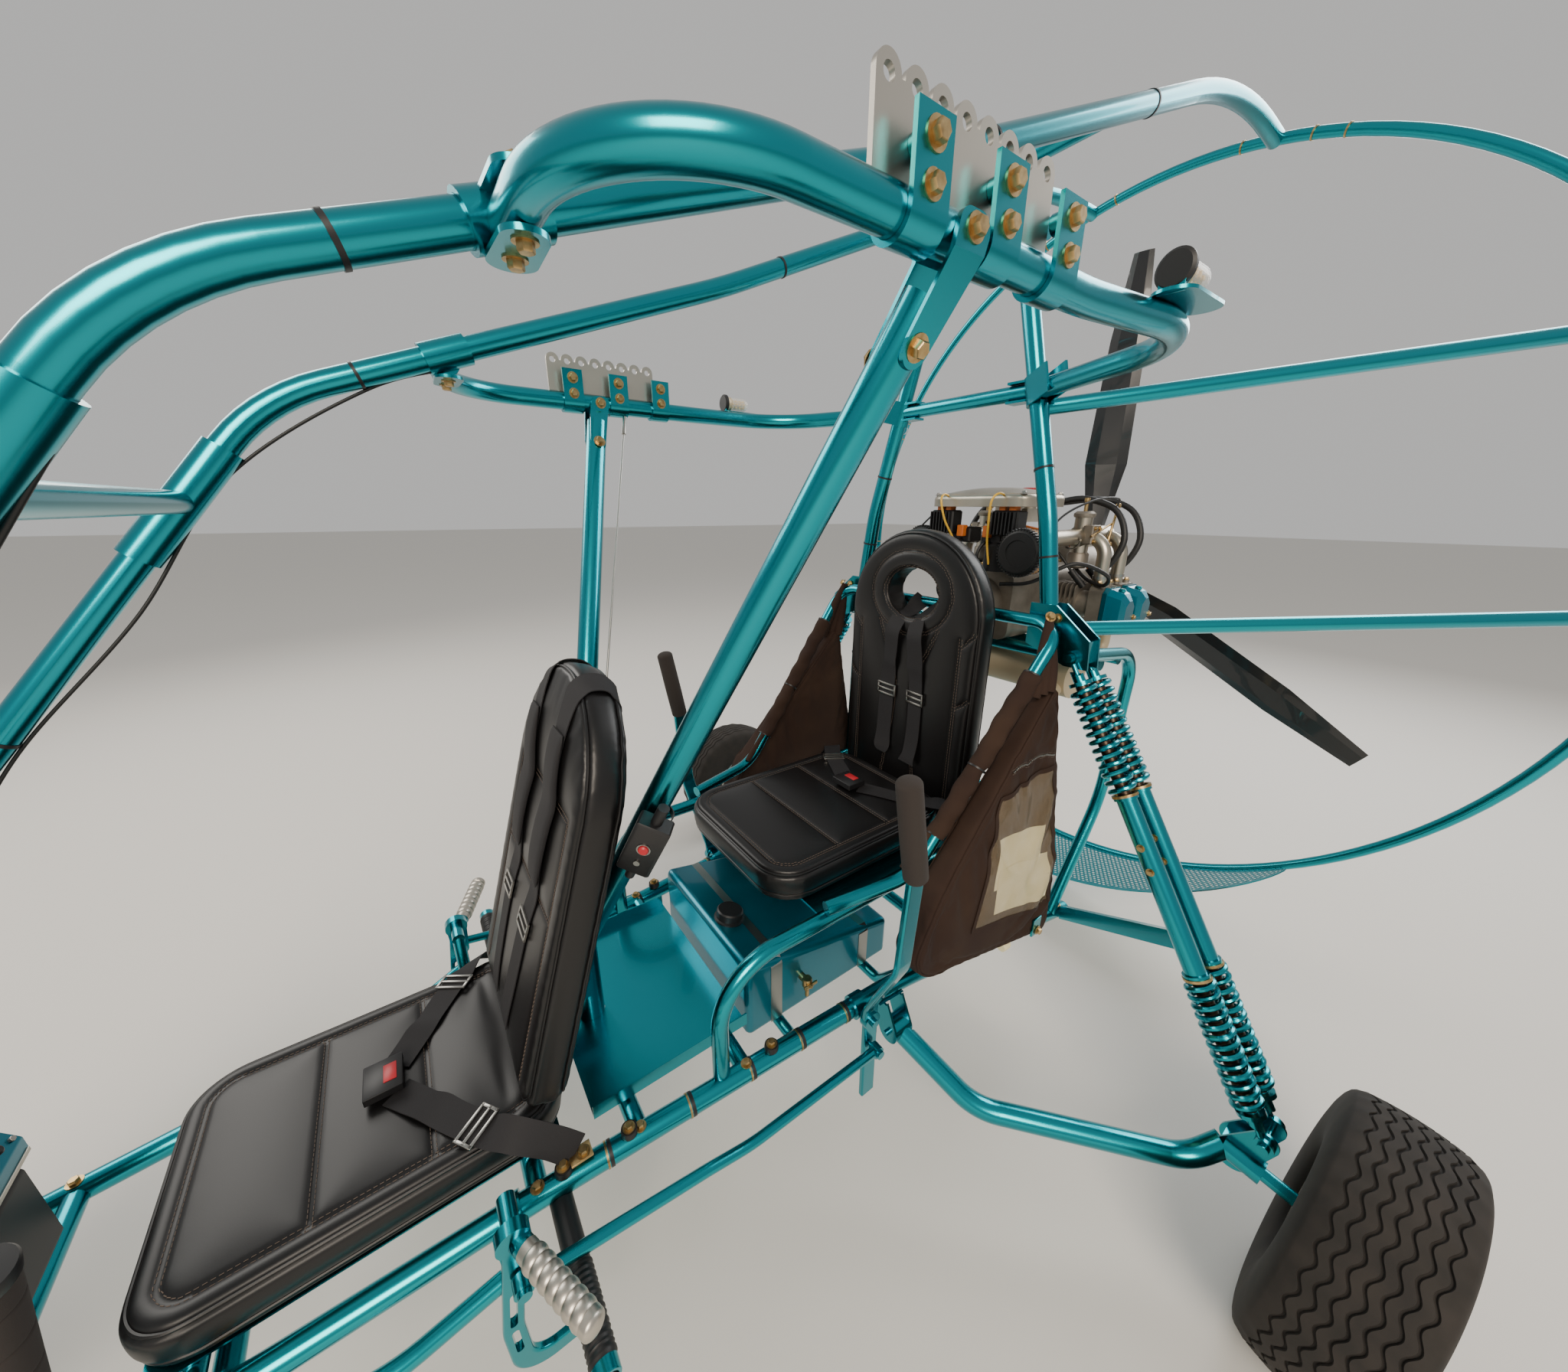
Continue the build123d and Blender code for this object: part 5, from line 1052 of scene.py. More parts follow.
hose("brake_cable", run, 2.4, HOSE, "steering_stick")


# Bands, rubber mounts and cables on the frame



def on_ring(degrees, side):
    """A point of the guard ring's centre line, at an angle above its middle."""
    angle = math.radians(degrees)
    return np.array((RING[0] * math.cos(angle) * side, RING[1], RING[2] + RING[0] * math.sin(angle)))


BRACE_END = -1.1  # degrees round the guard ring, where the standoff from the upright meets it
bands, ties, mounts, pins = Shells(), Shells(), Shells(), Shells()
for side in SIDES:
    rail, over, upright = [[flip(p, side) for p in line] for line in (RAIL_LINE, OVERHEAD_LINE, UPRIGHT_LINE)]
    for y in (-297, -155, -36, 74, 183):
        band(bands, rail, 1, y, 18.9, 20.2, 3.4)
        band(ties, rail, 1, y + 6, 18.9, 19.8, 6.0)
    for y in (-361, -258, 14):
        top = on_line(rail, 1, y) + (0, 0, 18.6)
        mounts.solid([(13, 0), (14, 5), (13, 13)], top, (0, 0, 1), 28)
        pins.bolt(top + (0, 0, 13), (0, 0, 1), 12)
    for y in (-1080, -880, -610, -400, -255, 420, 900):
        band(ties, over, 1, y, 18.9, 20.2, 5.0)
    for z in (1500, 1320, 980, 760, 560):
        band(ties, upright, 2, z, 18.9, 20.2, 4.6)
    start, end = np.array((330.0 * side, 760, 1170)), on_ring(BRACE_END, side)
    for share in (0.1, 0.93):
        bands.hoop(14.2, 15.6, -2, 2, start + (end - start) * share, end - start, 28)
    for degrees in (BRACE_END, 27.9, 72, 100):
        angle = math.radians(degrees)
        way = np.array((-math.sin(angle) * side, 0, math.cos(angle)))
        for shift in (-34, 34):
            bands.hoop(13.1, 14.4, -2, 2, on_ring(degrees, side) + way * shift, way, 28)
pieces(
    ("gold_bands", bands, ZINC),
    ("tie_bands", ties, PLASTIC),
    ("rubber_mounts", mounts, HOSE),
    ("mount_bolts", pins, ZINC),
)


def under_rail(y, gap):
    """A point under the left overhead rail, a gap off its surface."""
    a, b = run_at(OVERHEAD_LINE, 1, y)
    way = unit(b - a)
    return on_line(OVERHEAD_LINE, 1, y) + unit((0, -way[2], way[1])) * (MAIN_TUBE / 2 + gap)


RUN = [(-250, 2.6), (-400, 2.6), (-600, 2.6), (-745, 15), (-880, 2.6), (-980, 13), (-1080, 2.6), (-1150, 2.6)]
hose("rail_cable_right", [flip(under_rail(y, gap), -1) for y, gap in RUN], 2.4, HOSE)
hose("rail_cable_left", [under_rail(y, gap) for y, gap in RUN[2:]], 2.4, HOSE)
stay = Shells()
top, foot = np.array((-503.0, 120, 1626)), np.array((-25.0, -214, 640))
stay.rod(top, foot, 2.4, 10)
stay.solid([(5, 0), (5, 46)], top, foot - top, 16)
stay.solid([(5, -40), (5, 0)], foot, foot - top, 16)
piece("stay_right", stay, STEEL)


# Cargo bag corners: gathered cloth under a gold bolt on the hoop, and the rolled edge beside the sleeve

GATHER = (318.0, 706.0, 1196.0)
ROLLED = ((300, 330, 716), (318, 440, 832), (330, 560, 975), (340, 660, 1092), (330, 700, 1170))
for side, word in NAMED_SIDES:
    fold, bolt, tab = Shells(), Shells(), Shells()
    top = flip(GATHER, side)
    for index, spread in enumerate((-2, -1, 0, 1, 2)):
        low = flip((372 - 11 * abs(spread) - index * 3, 668 + 13 * spread, 1052 - 6 * abs(spread)), side)
        middle = (top + low) / 2 + flip((8, 3 * spread, -6), side)
        line = smooth_line([top + flip((6, spread * 2.0, 2), side), middle, low], 26)
        share = np.linspace(0, 1, 26)
        fold.sweep(line, 5 + 10 * np.sin(math.pi * np.minimum(share * 0.62 + 0.03, 1)), 14)
    rolled = smooth_line([flip(p, side) for p in ROLLED], 60)
    fold.sweep(rolled, 7.6 + 0.8 * np.sin(np.linspace(0, 40, 60)), 14)
    piece(f"bag_gather_{word}", fold, CLOTH)
    bolt.bolt(top + flip((9, -4, 6), side), flip((0.7, -0.5, 0.5), side), 13)
    bolt.bolt(flip((398, 756, 402), side), (side, 0, 0), 14)
    piece(f"bag_bolts_{word}", bolt, ZINC)
    bushing = [(11, -13), (12, -9), (12, 9), (11, 13)]
    turned_piece(f"bag_bushing_{word}", bushing, flip((378, 640, 404), side), (0, 1, 0), 28, PAPER)
    tab.block(flip((394, 752, 414), side), (5, 34, 50))
    piece(f"bag_tab_{word}", tab, TEAL)


# Fuel tank: straps, filler, brass tap with its drain

tank, brass = Shells(), Shells()
for y in (88, 338):
    top = 548 - (y - 16) * (548 - 465) / 404  # the tank's top falls towards the rear
    profile = [(196.4, 372), (196.4, top - 14), (184, top + 1)]
    profile = [(-x, z) for x, z in profile] + profile[::-1]
    outer = np.array([(x, y, z) for x, z in profile], float)
    inner = outer * (0.992, 1, 1)
    inner[:, 2] = np.minimum(inner[:, 2], top - 0.5)
    outer, inner = [np.vstack([line + (0, -14, 0), line + (0, 14, 0)]) for line in (outer, inner)]
    tank.add(*walled(outer, inner, [[k + 1, k + 7, k + 6, k] for k in range(5)]))
piece("tank_straps", tank, STEEL)
filler = [(34, -4), (34, 3), (30, 5), (30, 20), (27, 23)]
turned_piece("tank_filler", filler, (40, 65, 538), (0, 0.2, 0.98), 40, PLASTIC)
brass.rod((194, 154, 450), (214, 154, 450), 8)
brass.solid([(9.5, -11), (11, -7), (11, 7), (9.5, 11)], (216, 154, 450), (0, 0, 1), 20)
brass.block((228, 154, 452), (4, 34, 7))
brass.rod((216, 154, 450), (216, 154, 414), 4.5)
brass.bolt((227, 154, 450), (1, 0, 0), 9, washer=False)
piece("tank_tap", brass, ZINC)


# Engine: filters, carburettors, leads and hoses

HEAD_Y = (1142.0, 1238.0)
HEAD_X = 248.0
HEAD_Z = 1168.0
FILTER_AT = (152.0, 835.0, 1316.0)
CARB_AT = (150.0, 1135.0, 1348.0)
LID_Z = 1454.0
CASE_TOP = HEAD_Z + 94.8
HUB_Z = RING[2]
UP, REAR = (0, 0, 1), (0, 1, 0)
rubber, pleats, brass, steel, teal, red, cast = [Shells() for _ in range(7)]
for side in SIDES:
    at, aside = flip(FILTER_AT, side), (side, 0, 0)
    rubber.solid([(30, -4), (31, -6), (47, -6), (48, -3), (55, 1), (55, 15), (52, 16)], at, REAR, 48)
    rubber.solid([(55, 50), (55, 60), (30, 66)], at, REAR, 48)
    for turn in full_turn(44):
        out = np.array([math.cos(turn), 0, math.sin(turn)])
        axes = np.array([REAR, out, np.cross(REAR, out)])
        pleats.block(at + out * 51.5 + (0, 33, 0), (35, 7, 3.2), axes)
        rubber.block(at + out * 55.5 + (0, 9, 0), (20, 6, 3.8), axes)
    for y in (925, 1085):
        steel.hoop(21.6, 23.4, -5, 5, flip((152, y, 1340), side), (0, 1, 0.02))
    at = flip(CARB_AT, side)
    cast.solid([(25, 50), (27, 54), (27, 60), (20, 66)], at, UP, 32)
    cast.solid([(22, -84), (27, -78), (27, -46), (24, -42)], at, UP, 32)
    cast.block(at + flip((26, 0, 6), side), (26, 44, 50))
    for shift in (-12, 12):
        for lift in (22, -12):
            brass.bolt(at + flip((39, shift, lift), side), aside, 7)
    brass.rod(at + flip((40, -30, 2), side), at + flip((40, 74, 34), side), 3, 10)
    brass.rod(at + flip((44, 60, -20), side), at + flip((44, 84, 78), side), 3.4, 10)
    brass.turned([(CORE, -6), (6, -5), (8, 0), (6, 5), (CORE, 6)], at + flip((44, 84, 80), side), aside, 16)
    brass.bolt(at + flip((46, 60, -20), side), aside, 12)
    brass.solid([(5, 0), (5, 26), (7, 28), (7, 36)], at + (0, 0, 64), UP, 16)
    for head_y in HEAD_Y:
        head = flip((HEAD_X, head_y, HEAD_Z), side)
        teal.solid([(9, -2), (9, 2), (6, 5)], head + flip((30, 0, 48), side), (side * 0.16, 0, 0.99), 20)
        brass.bolt(head + flip((56, 30, -22), side), aside, 9)
        for shift in (-30, 30):
            cast.solid([(8.5, 0), (8.5, 9)], head + flip((-17, shift, 55), side), UP, 20)
            brass.bolt(head + flip((-17, shift, 63), side), UP, 10)
        steel.hoop(17.2, 19, -4, 4, head + flip((-32, 0, 76), side), UP, 32)
        rubber.rod(head + flip((-60, -26, 50), side), head + flip((-92, -44, 92), side), 9, 16)
        brass.rod(head + flip((-54, 18, 50), side), head + flip((-54, 18, 74), side), 6, 12)
for x in (-128, 128):
    for y in (866, 1034):
        steel.bolt((x, y, LID_Z - 1), UP, 10)
steel.block((0, 950, LID_Z + 1), (210, 150, 4))
at = np.linspace(0, 20, 9)
red.solid([*zip(22 + 3 * (0.5 - 0.5 * np.cos(at / 20 * 2 * math.pi)), at)], (0, 1112, LID_Z + 2), UP, 30)
for turn in full_turn(20):
    out = np.array([math.cos(turn), math.sin(turn), 0])
    red.block(out * 23.5 + (0, 1112, LID_Z + 12), (3, 4, 19), np.array([out, np.cross(UP, out), UP]))
rubber.solid([(40, 0), (40, 66), (30, 76)], (60, 905, 1262), UP, 36)
rubber.rod((-70, 862, 1200), (-70, 930, 1206), 34, 30)
cast.solid([(46, -14), (50, -8), (50, 2)], (0, 862, HEAD_Z), REAR, 48)
for turn in full_turn(8):
    brass.bolt((62 * math.cos(turn), 860.5, HEAD_Z + 62 * math.sin(turn)), (0, -1, 0), 9)
    steel.bolt((58 * math.cos(turn), 1461.5, HUB_Z + 74 * math.sin(turn)), REAR, 10)
for turn in full_turn(6):
    steel.bolt((38 * math.cos(turn), 1549.5, HUB_Z + 38 * math.sin(turn)), REAR, 11)
for shift in (-60, -20, 20, 60):
    for y in (1000, 1290):
        brass.bolt((shift, y, CASE_TOP), UP, 10)
pieces(
    ("engine_rubber", rubber, HOSE),
    ("filter_pleats", pleats, PLEAT),
    ("engine_fittings", brass, ZINC),
    ("engine_clips", steel, STEEL),
    ("cover_bolts", teal, TEAL),
    ("coolant_cap", red, RED),
    ("engine_castings", cast, CAST),
)
covers = Shells()
# How far out, half width, half height and shift of each of the cover's outlines
LEVELS = ((1, 43, 54, 0), (12, 43, 54, 0), (13, 40, 51, 0), (44, 29, 44, -3), (57, 23, 31, -8))
CUT = 15
for side in SIDES:
    for head_y in HEAD_Y:
        rounds = []
        for out, a, b, shift in LEVELS:
            half = [(a, b - CUT), (a - CUT, b), (CUT - a, b), (-a, b - CUT)]
            corner = half + [(y, -z) for y, z in half[::-1]]
            rounds.append([(HEAD_X + out, head_y + y, HEAD_Z + shift + z) for y, z in corner])
        covers.add(np.array(rounds).reshape(-1, 3) * (side, 1, 1), turned_over(capped(len(LEVELS), 8), side))
made = piece("faceted_rocker_covers", covers, TEAL_DARK, smooth=False)
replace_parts(made, "rocker_covers")

lid, coil_boxes, plugs = Shells(), Shells(), Shells()
across, along = np.meshgrid(np.linspace(-1, 1, 25), np.linspace(-1, 1, 19), indexing="ij")
height = LID_Z + 1.5 + 17 * (1 - np.abs(across) ** 2.6) * (1 - np.abs(along) ** 2.6)
skin = np.stack([across * 134, 950 + along * 88, height], -1).reshape(-1, 3)
lid.add(*walled(skin, skin - (0, 0, 2), grid_faces(25, 19, wrap_columns=False)))
for x in (-96, 96):
    coil_boxes.block((x, 868, 1384), (74, 44, 62))
    for shift in np.arange(-30, 31, 10):
        coil_boxes.block((x + shift, 843, 1384), (3.4, 12, 54))
    coil_boxes.block((x * 0.5, 900, 1352), (60, 56, 40))
    for shift in (-16, 12):
        plugs.block((x + shift, 868, 1420), (17, 24, 14))
    plugs.block((x * 0.42, 868, 1362), (20, 22, 30))
pieces(("airbox_dome", lid, BLASTED), ("control_boxes", coil_boxes, PLASTIC), ("lead_plugs", plugs, ORANGE))

FUEL = [(150, 1135, 1262), (196, 1120, 1236), (252, 1090, 1230), (276, 1040, 1262)]
FUEL += [(230, 960, 1290), (150, 915, 1240), (74, 900, 1228)]
SENSOR = [(80, 870, 1427), (84, 854, 1450), (82, 829, 1454), (76, 814, 1436)]
SENSOR += [(67, 825, 1388), (52, 852, 1334), (54, 866, 1280)]
STARTER = [(44, 874, 1340), (36, 852, 1328), (32, 842, 1298), (36, 860, 1262)]
THROTTLE = [(192, 1219, 1426), (220, 1150, 1446), (214, 1040, 1440), (196, 930, 1400)]
THROTTLE += [(206, 840, 1330), (262, 782, 1250), (282, 770, 1180)]
for side, word in NAMED_SIDES:
    runs = []
    for index, y in enumerate(HEAD_Y):
        run = [(194, y + 18, 1242), (230, y + 30, 1291), (240, y + 40, 1351), (202, y + 48, 1418)]
        run += [(125, y + 30, 1446), (58, 1149 + 27 * index, 1437), (22, 1130, 1440)]
        runs.append((f"coolant_hose_{word}_{index}", run, 8.5, HOSE))
        run = [(156, y - 44, 1260), (120, y - 66, 1310), (78, y - 110, 1350)]
        run += [(48, 1010 + 30 * index, 1372), (30, 960, 1384)]
        runs.append((f"ignition_lead_{word}_{index}", run, 3.6, ORANGE if index else HOSE))
    runs.append((f"fuel_line_{word}", FUEL, 5.0, HOSE))
    runs.append((f"sensor_lead_{word}", SENSOR, 2.8, AMBER))
    runs.append((f"starter_lead_{word}", STARTER, 4.5, HOSE))
    runs.append((f"throttle_cable_{word}", THROTTLE, 2.6, HOSE))
    for name, run, radius, look in runs:
        hose(name, [flip(p, side) for p in run], radius, look)


# Instrument panel: a dark screen, round gauges, toggles, knobs and small lights on the face towards the pilot

PANEL_FOOT = np.array((0.0, -985.0, 560.0))
PANEL_UP = unit((0.0, -90.0, 140.0))
PANEL_OUT = unit((0.0, 140.0, 90.0))
PANEL_AXES = np.array([(1.0, 0, 0), PANEL_UP, np.cross((1.0, 0, 0), PANEL_UP)])


def on_panel(x, up, out=0.0):
    """A point on the panel's face from its middle foot."""
    return PANEL_FOOT + np.array((x, 0, 0)) + PANEL_UP * up + PANEL_OUT * out


bezels, screens, knobs, chrome, lights = [Shells() for _ in range(5)]
bezels.block(on_panel(-62, 86, 4), (132, 96, 10), PANEL_AXES)
screens.block(on_panel(-62, 90, 9.2), (112, 70, 2), PANEL_AXES)
for x, up, r in ((46, 116, 29), (46, 48, 25), (112, 116, 25)):
    bezels.turned([(r - 4, -1), (r, -1), (r + 1, 5), (r - 3, 8), (r - 5, 5)], on_panel(x, up), PANEL_OUT, 40)
    screens.solid([(r - 4, -1), (r - 4, 3)], on_panel(x, up), PANEL_OUT, 40)
    chrome.block(on_panel(x + 4, up + 6, 3.8), (2.2, r * 0.9, 1.2), PANEL_AXES)
for index, (up, x) in enumerate((up, x) for up in (60, 30) for x in (92, 108, 124)):
    chrome.solid([(6.5, -1), (6.5, 3), (4.5, 6)], on_panel(x, up), PANEL_OUT, 20)
    chrome.rod(on_panel(x, up, 5), on_panel(x, up + (6 if index % 2 else -6), 20), 2.4, 10)
for x in (-112, -86, -60, -34, -12):
    knobs.solid([(8, -1), (7.4, 12), (5, 14)], on_panel(x, 22), PANEL_OUT, 24)
for x in (-104, -84, -64, -44, -24):
    lights.turned([(CORE, -1), (4, -1), (3.6, 3), (CORE, 4)], on_panel(x, 146), PANEL_OUT, 16)
for x in (-142, 142):
    for up in (10, 156):
        chrome.bolt(on_panel(x, up, 0), PANEL_OUT, 7, washer=False)
pieces(
    ("panel_bezels", bezels, PLASTIC),
    ("panel_glass", screens, SCREEN),
    ("panel_knobs", knobs, PLASTIC),
    ("panel_switches", chrome, STEEL),
    ("panel_lights", lights, RED),
)
pod_screws, pod_trim = Shells(), Shells()
COVER_SCREWS = {
    "nose_pod": ((-1002, 516), (-1002, 440), (-1222, 516), (-1272, 440)),
    "instrument_pod": ((-1000, 556), (-1146, 562), (-1092, 684)),
}
for name, spots in COVER_SCREWS.items():
    wide = node_box(name)[1][0]
    for x, (y, z) in ((side * wide, spot) for side in SIDES for spot in spots):
        pod_screws.bolt((x, y, z), (x, 0, 0), 8, washer=False)
        pod_screws.solid([(8, 0), (7.4, 1.2)], (x, y, z), (x, 0, 0), 24)
for side in SIDES:
    pod_trim.block((side * 150.6, -1072, 538), (2.6, 166, 6))
pod_trim.block((0, -984.4, 538), (296, 2.6, 6))
pieces(("pod_screws", pod_screws, STEEL), ("pod_trim", pod_trim, ALLOY))


# Intercom box strapped to the left diagonal, and the base of the whip antenna

BOX_UP = unit((473.5, 288.3, 1009.3))
toward = np.array((0.74, -0.26, 0.4))
BOX_OUT = unit(toward - BOX_UP * np.dot(toward, BOX_UP))
BOX_AXES = np.array([np.cross(BOX_UP, BOX_OUT), BOX_UP, BOX_OUT])


def on_box(out, up):
    """A point over the diagonal's centre line where the box hangs."""
    return np.array((180.0, -145.0, 932.0)) + BOX_OUT * out + BOX_UP * up


box, button, trim = Shells(), Shells(), Shells()
box.block(on_box(40, 0), (54, 104, 34), BOX_AXES)
box.rod(on_box(40, 50), on_box(40, 84), 9, 20)
box.rod(on_box(40, -50), on_box(40, -76), 8, 20)
for up in (-30, 30):
    box.hoop(22.4, 24.2, -5, 5, on_box(0, up), BOX_UP)
button.solid([(8, 0), (8, 5), (6, 7)], on_box(56, 8), BOX_OUT, 28)
trim.hoop(8.6, 11, 0, 2.4, on_box(56.6, 8), BOX_OUT, 28)
trim.solid([(5, 0), (5, 3)], on_box(56.6, -24), BOX_OUT, 20)
pieces(("intercom_box", box, PLASTIC), ("intercom_button", button, RED), ("intercom_trim", trim, STEEL))
boot = [(8, 0), (11, 6), (11, 14), (5, 20), (3, 44)]
turned_piece("antenna_boot", boot, (200, -640, 1478), UP, 24, PLASTIC)


# Harness: shoulder and lap straps that lie on the seats, with adjusters, pads and buckles

STRAP_LIFT = 2.4


def lie(shells, line, out, width, thick, corners=((-1, -1), (1, -1), (1, 1), (-1, 1))):
    """A flat band along a line, its broad face turned to the normals; width and thick may change."""
    ahead = unit(np.gradient(line, axis=0))
    aside = unit(np.cross(out, ahead))
    out = np.cross(ahead, aside)
    width, thick = np.broadcast_to(width, len(line)), np.broadcast_to(thick, len(line))
    rounds = [line + aside * (a * width / 2)[:, None] + out * (b * thick / 2)[:, None] for a, b in corners]
    shells.add(np.stack(rounds, 1), capped(len(line), len(corners)))


def strap_path(tree, points):
    """Where a strap lies along a surface, with the normals: it keeps off where the points do."""
    line = dense(smooth_line(points, 120), 7)
    found = [tree.find_nearest(Vector(p)) for p in line.tolist()]
    normals = np.array([list(normal) for _, normal, _, _ in found])
    gap = np.array([distance for _, _, _, distance in found])
    onto = np.array([list(at) for at, _, _, _ in found]) + normals * STRAP_LIFT
    share = np.clip((gap - 12) / 10, 0, 1)[:, None]
    line = onto * (1 - share) + line * share
    for _ in range(4):
        line[1:-1] = (line[:-2] + 2 * line[1:-1] + line[2:]) / 4
        normals[1:-1] = unit(normals[:-2] + 2 * normals[1:-1] + normals[2:])
    return line, normals


wide, tall = np.cos(full_turn(20)), np.sin(full_turn(20))
PAD_SHAPE = np.stack([np.sign(wide) * np.abs(wide) ** 0.5, np.sign(tall) * np.abs(tall) ** 0.7], 1)
STRAP_W = 46.0
adjusters, buckles, catches, anchors = Shells(), Shells(), Shells(), Shells()


def strap(name, tree, points, adjuster, pad=None):
    """One strap of the harness, with an adjuster and where asked a pad, at shares of its length."""
    line, out = strap_path(tree, points)
    shells = Shells()
    lie(shells, line, out, STRAP_W, 1.8)
    made = piece(name, shells, WEBBING)
    ahead = unit(np.gradient(line, axis=0))
    i = int(len(line) * adjuster)
    aside = unit(np.cross(out[i], ahead[i]))
    axes = np.array([aside, ahead[i], out[i]])
    for shift in (-14, 0, 14):
        adjusters.block(line[i] + ahead[i] * shift + out[i] * 2.6, (STRAP_W + 12, 5, 3.4), axes)
    for side in SIDES:
        adjusters.block(line[i] + aside * side * (STRAP_W / 2 + 4) + out[i] * 2.6, (5, 32, 3.4), axes)
    if pad:
        i, j = [int(len(line) * share) for share in pad]
        share = np.linspace(0, math.pi, j - i)
        swell = np.clip(np.sin(share), 0.001, 1) ** 0.25
        body = Shells()
        lie(body, line[i:j] + out[i:j] * 4.5, out[i:j], 62 * (0.75 + 0.25 * swell), 11 * swell + 1, PAD_SHAPE)
        piece(name + "_pad", body, WEBBING)


# Places across and up the front seat's back, with the depth in front of its rear face
OVER_SHOULDER = [(70, 430, -4), (74, 600, -4), (78, 668, 8), (78, 680, 40), (78, 664, 74)]
OVER_SHOULDER += [(76, 600, 82), (70, 380, 82), (56, 150, 82), (44, 40, 84)]
FRONT_LAP = [(247, -338, 440), (232, -372, 474), (206, -420, 502)]
FRONT_LAP += [(150, -470, 508), (80, -520, 508), (26, -560, 508)]
REAR_LAP = [(258, 604, 676), (236, 596, 700), (206, 572, 738)]
REAR_LAP += [(150, 530, 744), (84, 496, 744), (26, 466, 744)]
REAR_SHOULDER = [(24, 716, 1196), (26, 680, 1176), (30, 636, 1152), (36, 612, 1120)]
REAR_SHOULDER += [(46, 616, 1000), (50, 616, 860), (46, 612, 770)]
for side, word in NAMED_SIDES:
    over = [on_back(FRONT_BACK, [(side * x, up)], depth)[0] for x, up, depth in OVER_SHOULDER]
    strap(f"front_shoulder_strap_{word}", TREES["front", "back"], over, 0.78, (0.42, 0.7))
    for seat, part, points, cad_piece, share in (
        ("front_lap", ("front", "cushion"), FRONT_LAP, "front_seat_cushion", 0.5),
        ("rear_lap", ("rear", "cushion"), REAR_LAP, "rear_seat_cushion", 0.55),
        ("rear_shoulder", ("rear", "back"), REAR_SHOULDER, "rear_seat_pad", 0.62),
    ):
        strap(f"{seat}_strap_{word}", TREES[part], [flip(p, side) for p in points], share)
    for x, y, z in ((252, -334, 436), (262, 606, 676)):
        anchors.block(flip((x, y, z), side), (26, 34, 4))
        anchors.bolt(flip((x + 2, y + 4, z + 2), side), UP, 13)
for y, z in ((-575, 511), (452, 747)):
    buckles.block((0, y, z), (66, 54, 15))
    catches.block((0, y + 10, z + 7), (34, 18, 4))
pieces(
    ("strap_adjusters", adjusters, STEEL),
    ("strap_buckles", buckles, PLASTIC),
    ("buckle_catches", catches, RED),
    ("strap_anchors", anchors, ZINC),
)


# Bolts on the frame

bolts = Shells()
for side in SIDES:
    x, z = OUTRIGGER
    spots = [(y, out, lift, size) for y in BRACKET_Y for out in SIDES for lift, size in ((46, 14), (14, 13))]
    for y, out, lift, size in spots + [(59, out, 0, 14) for out in SIDES]:
        bolts.bolt(flip((x + out * (COLLAR_R - 0.1), y, z + lift), side), (side * out, 0, 0), size)
    slope = flip(unit((0.898, 0, -0.44)), side)
    bolts.bolt(flip((503.5, 34, 1562), side), slope, 15)
    bolts.bolt(flip((447.4, 34, 1562), side), -slope, 15)
    for y in (-1000, -760, -400, -240, -40, 560, 985):
        bolts.bolt(flip(on_line(RAIL_LINE, 1, y) + (0, 0, 18.9), side), UP, 12)
    bolts.bolt(flip(on_line(OVERHEAD_LINE, 1, -640) + (24, 0, 0), side), (side, 0, 0), 12)
    for up in SIDES:
        for x in (342, 300):
            bolts.bolt(flip((x, -270, z + up * COLLAR_R), side), (0, 0, up), 13)
    for out in SIDES:
        bolts.bolt(flip((328, 757 + out * 26.5, 1196), side), (0, out, 0), 12)
piece("frame_bolts", bolts, ZINC)


# Camera, light and floor

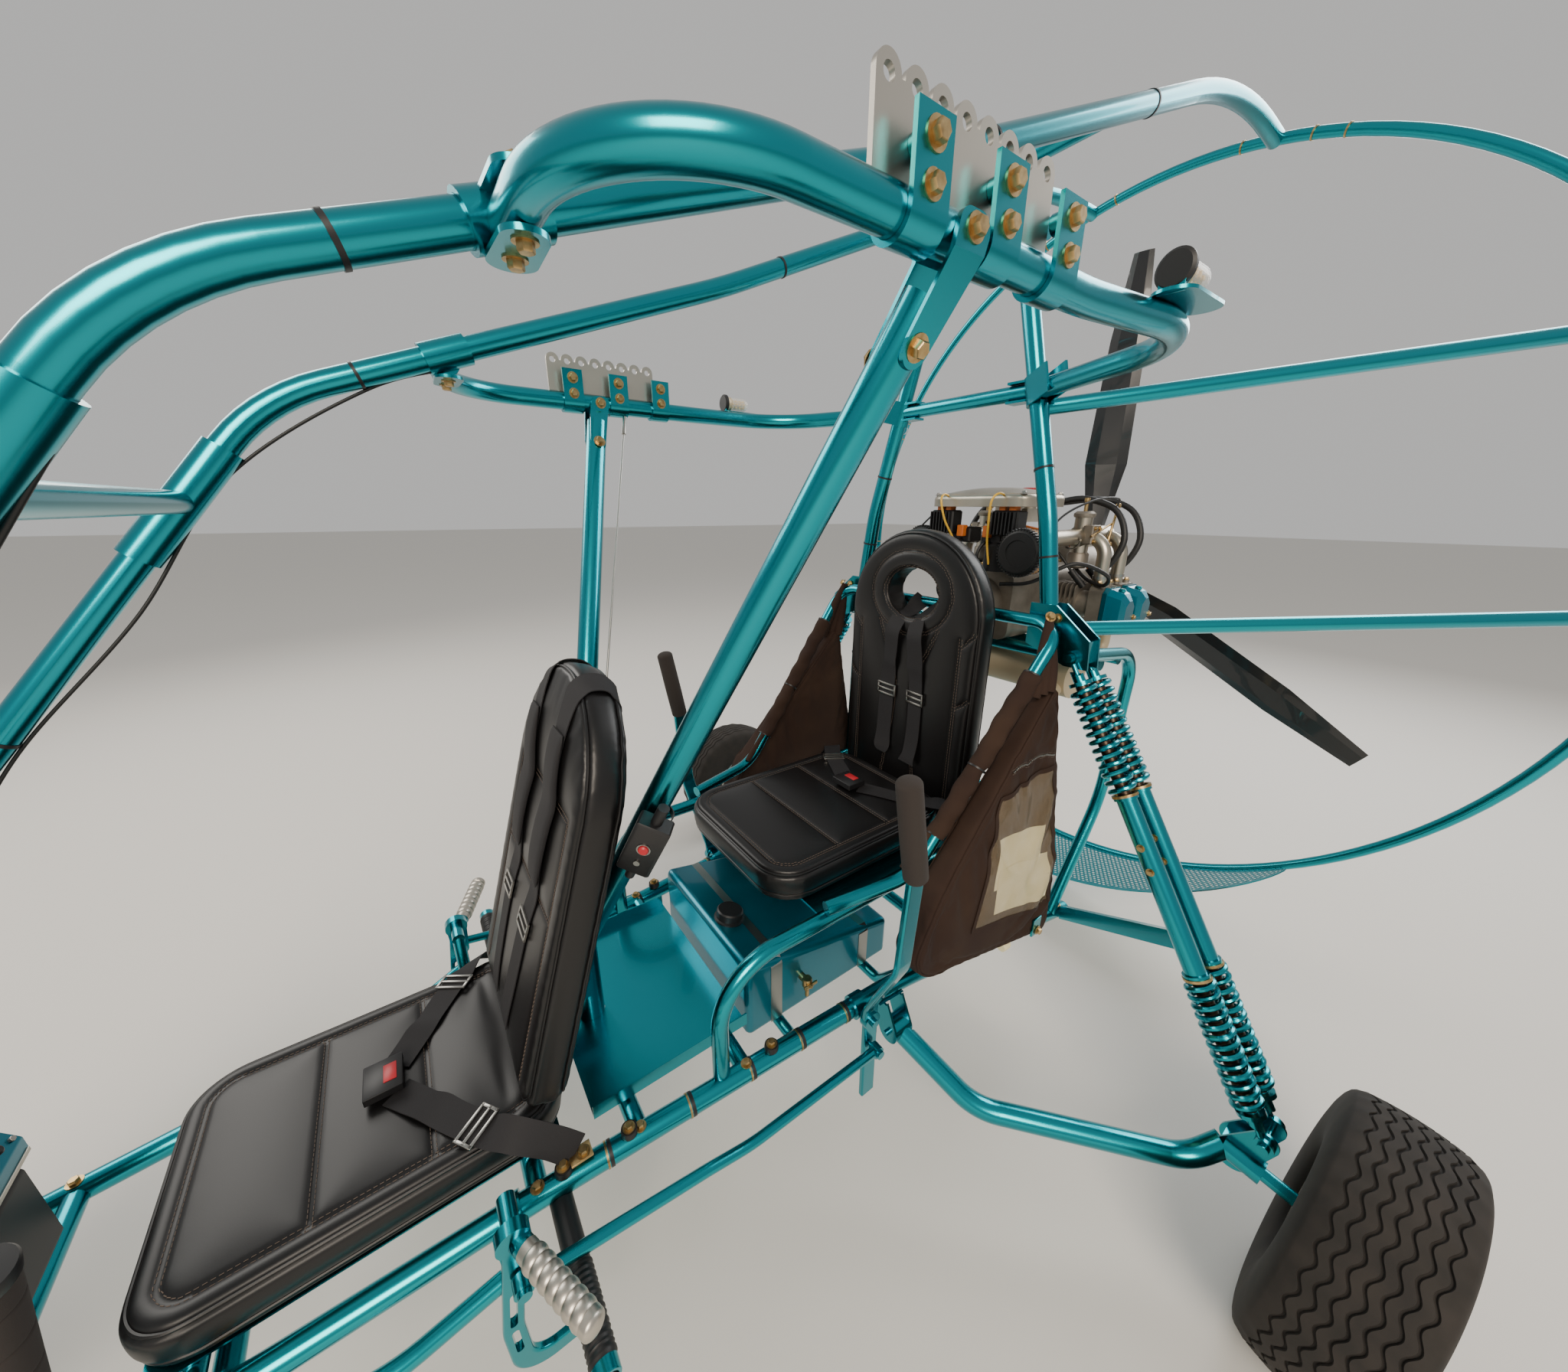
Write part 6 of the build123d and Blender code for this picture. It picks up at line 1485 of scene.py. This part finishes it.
CAMERA_AT = (902.0, -407.0, 1417.0)
CAMERA_RIGHT = (0.58355, 0.81205, 0.00552)
CAMERA_DOWN = (0.26038, -0.18067, -0.94845)
CAMERA_FOCAL = 695.0  # in pixels of the photograph
PHOTO_WIDTH = 2048.0
camera = bpy.data.cameras.new("camera")
camera.sensor_width = 36.0
camera.sensor_fit = "HORIZONTAL"
camera.lens = camera.sensor_width * CAMERA_FOCAL / PHOTO_WIDTH
camera.clip_start = 0.02
viewer = bpy.data.objects.new("camera", camera)
right, down = unit(CAMERA_RIGHT), unit(CAMERA_DOWN)
forward = np.cross(right, down)
axes = np.array([right, -down, -forward]).T
viewer.matrix_world = Matrix([[*row, at * MM] for row, at in zip(axes, CAMERA_AT)] + [[0, 0, 0, 1]])
bpy.context.scene.collection.objects.link(viewer)
bpy.context.scene.camera = viewer

floor_mesh = bpy.data.meshes.new("floor")
FLOOR_REACH = 40.0
corners = [(x * FLOOR_REACH, y * FLOOR_REACH, 0) for x, y in ((-1, -1), (1, -1), (1, 1), (-1, 1))]
floor_mesh.from_pydata(corners, [], [(0, 1, 2, 3)])
floor_mesh.materials.append(material("pale_floor", "d9d6d0", 0.8))
floor = bpy.data.objects.new("floor", floor_mesh)
bpy.context.scene.collection.objects.link(floor)

world = bpy.data.worlds.new("studio")
world.use_nodes = True
background = world.node_tree.nodes["Background"].inputs
background["Color"].default_value = linear("e3e2e0")
background["Strength"].default_value = 0.7
bpy.context.scene.world = world
LAMPS = (  # place in metres, power in watts, tint
    ((4.5, -3.0, 4.5), 420.0, "fff1df"),
    ((-4.0, -2.0, 4.0), 150.0, "f5f1ea"),
    ((0.5, 5.0, 4.0), 200.0, "ffffff"),
)
for index, (place, power, tint) in enumerate(LAMPS):
    lamp = bpy.data.lights.new(f"softbox_{index}", "AREA")
    lamp.size = 3.0
    lamp.energy = power
    lamp.color = linear(tint)[:3]
    holder = bpy.data.objects.new(f"softbox_{index}", lamp)
    holder.location = place
    holder.rotation_euler = (Vector((0, 0, 0.9)) - Vector(place)).to_track_quat("-Z", "Y").to_euler()
    bpy.context.scene.collection.objects.link(holder)
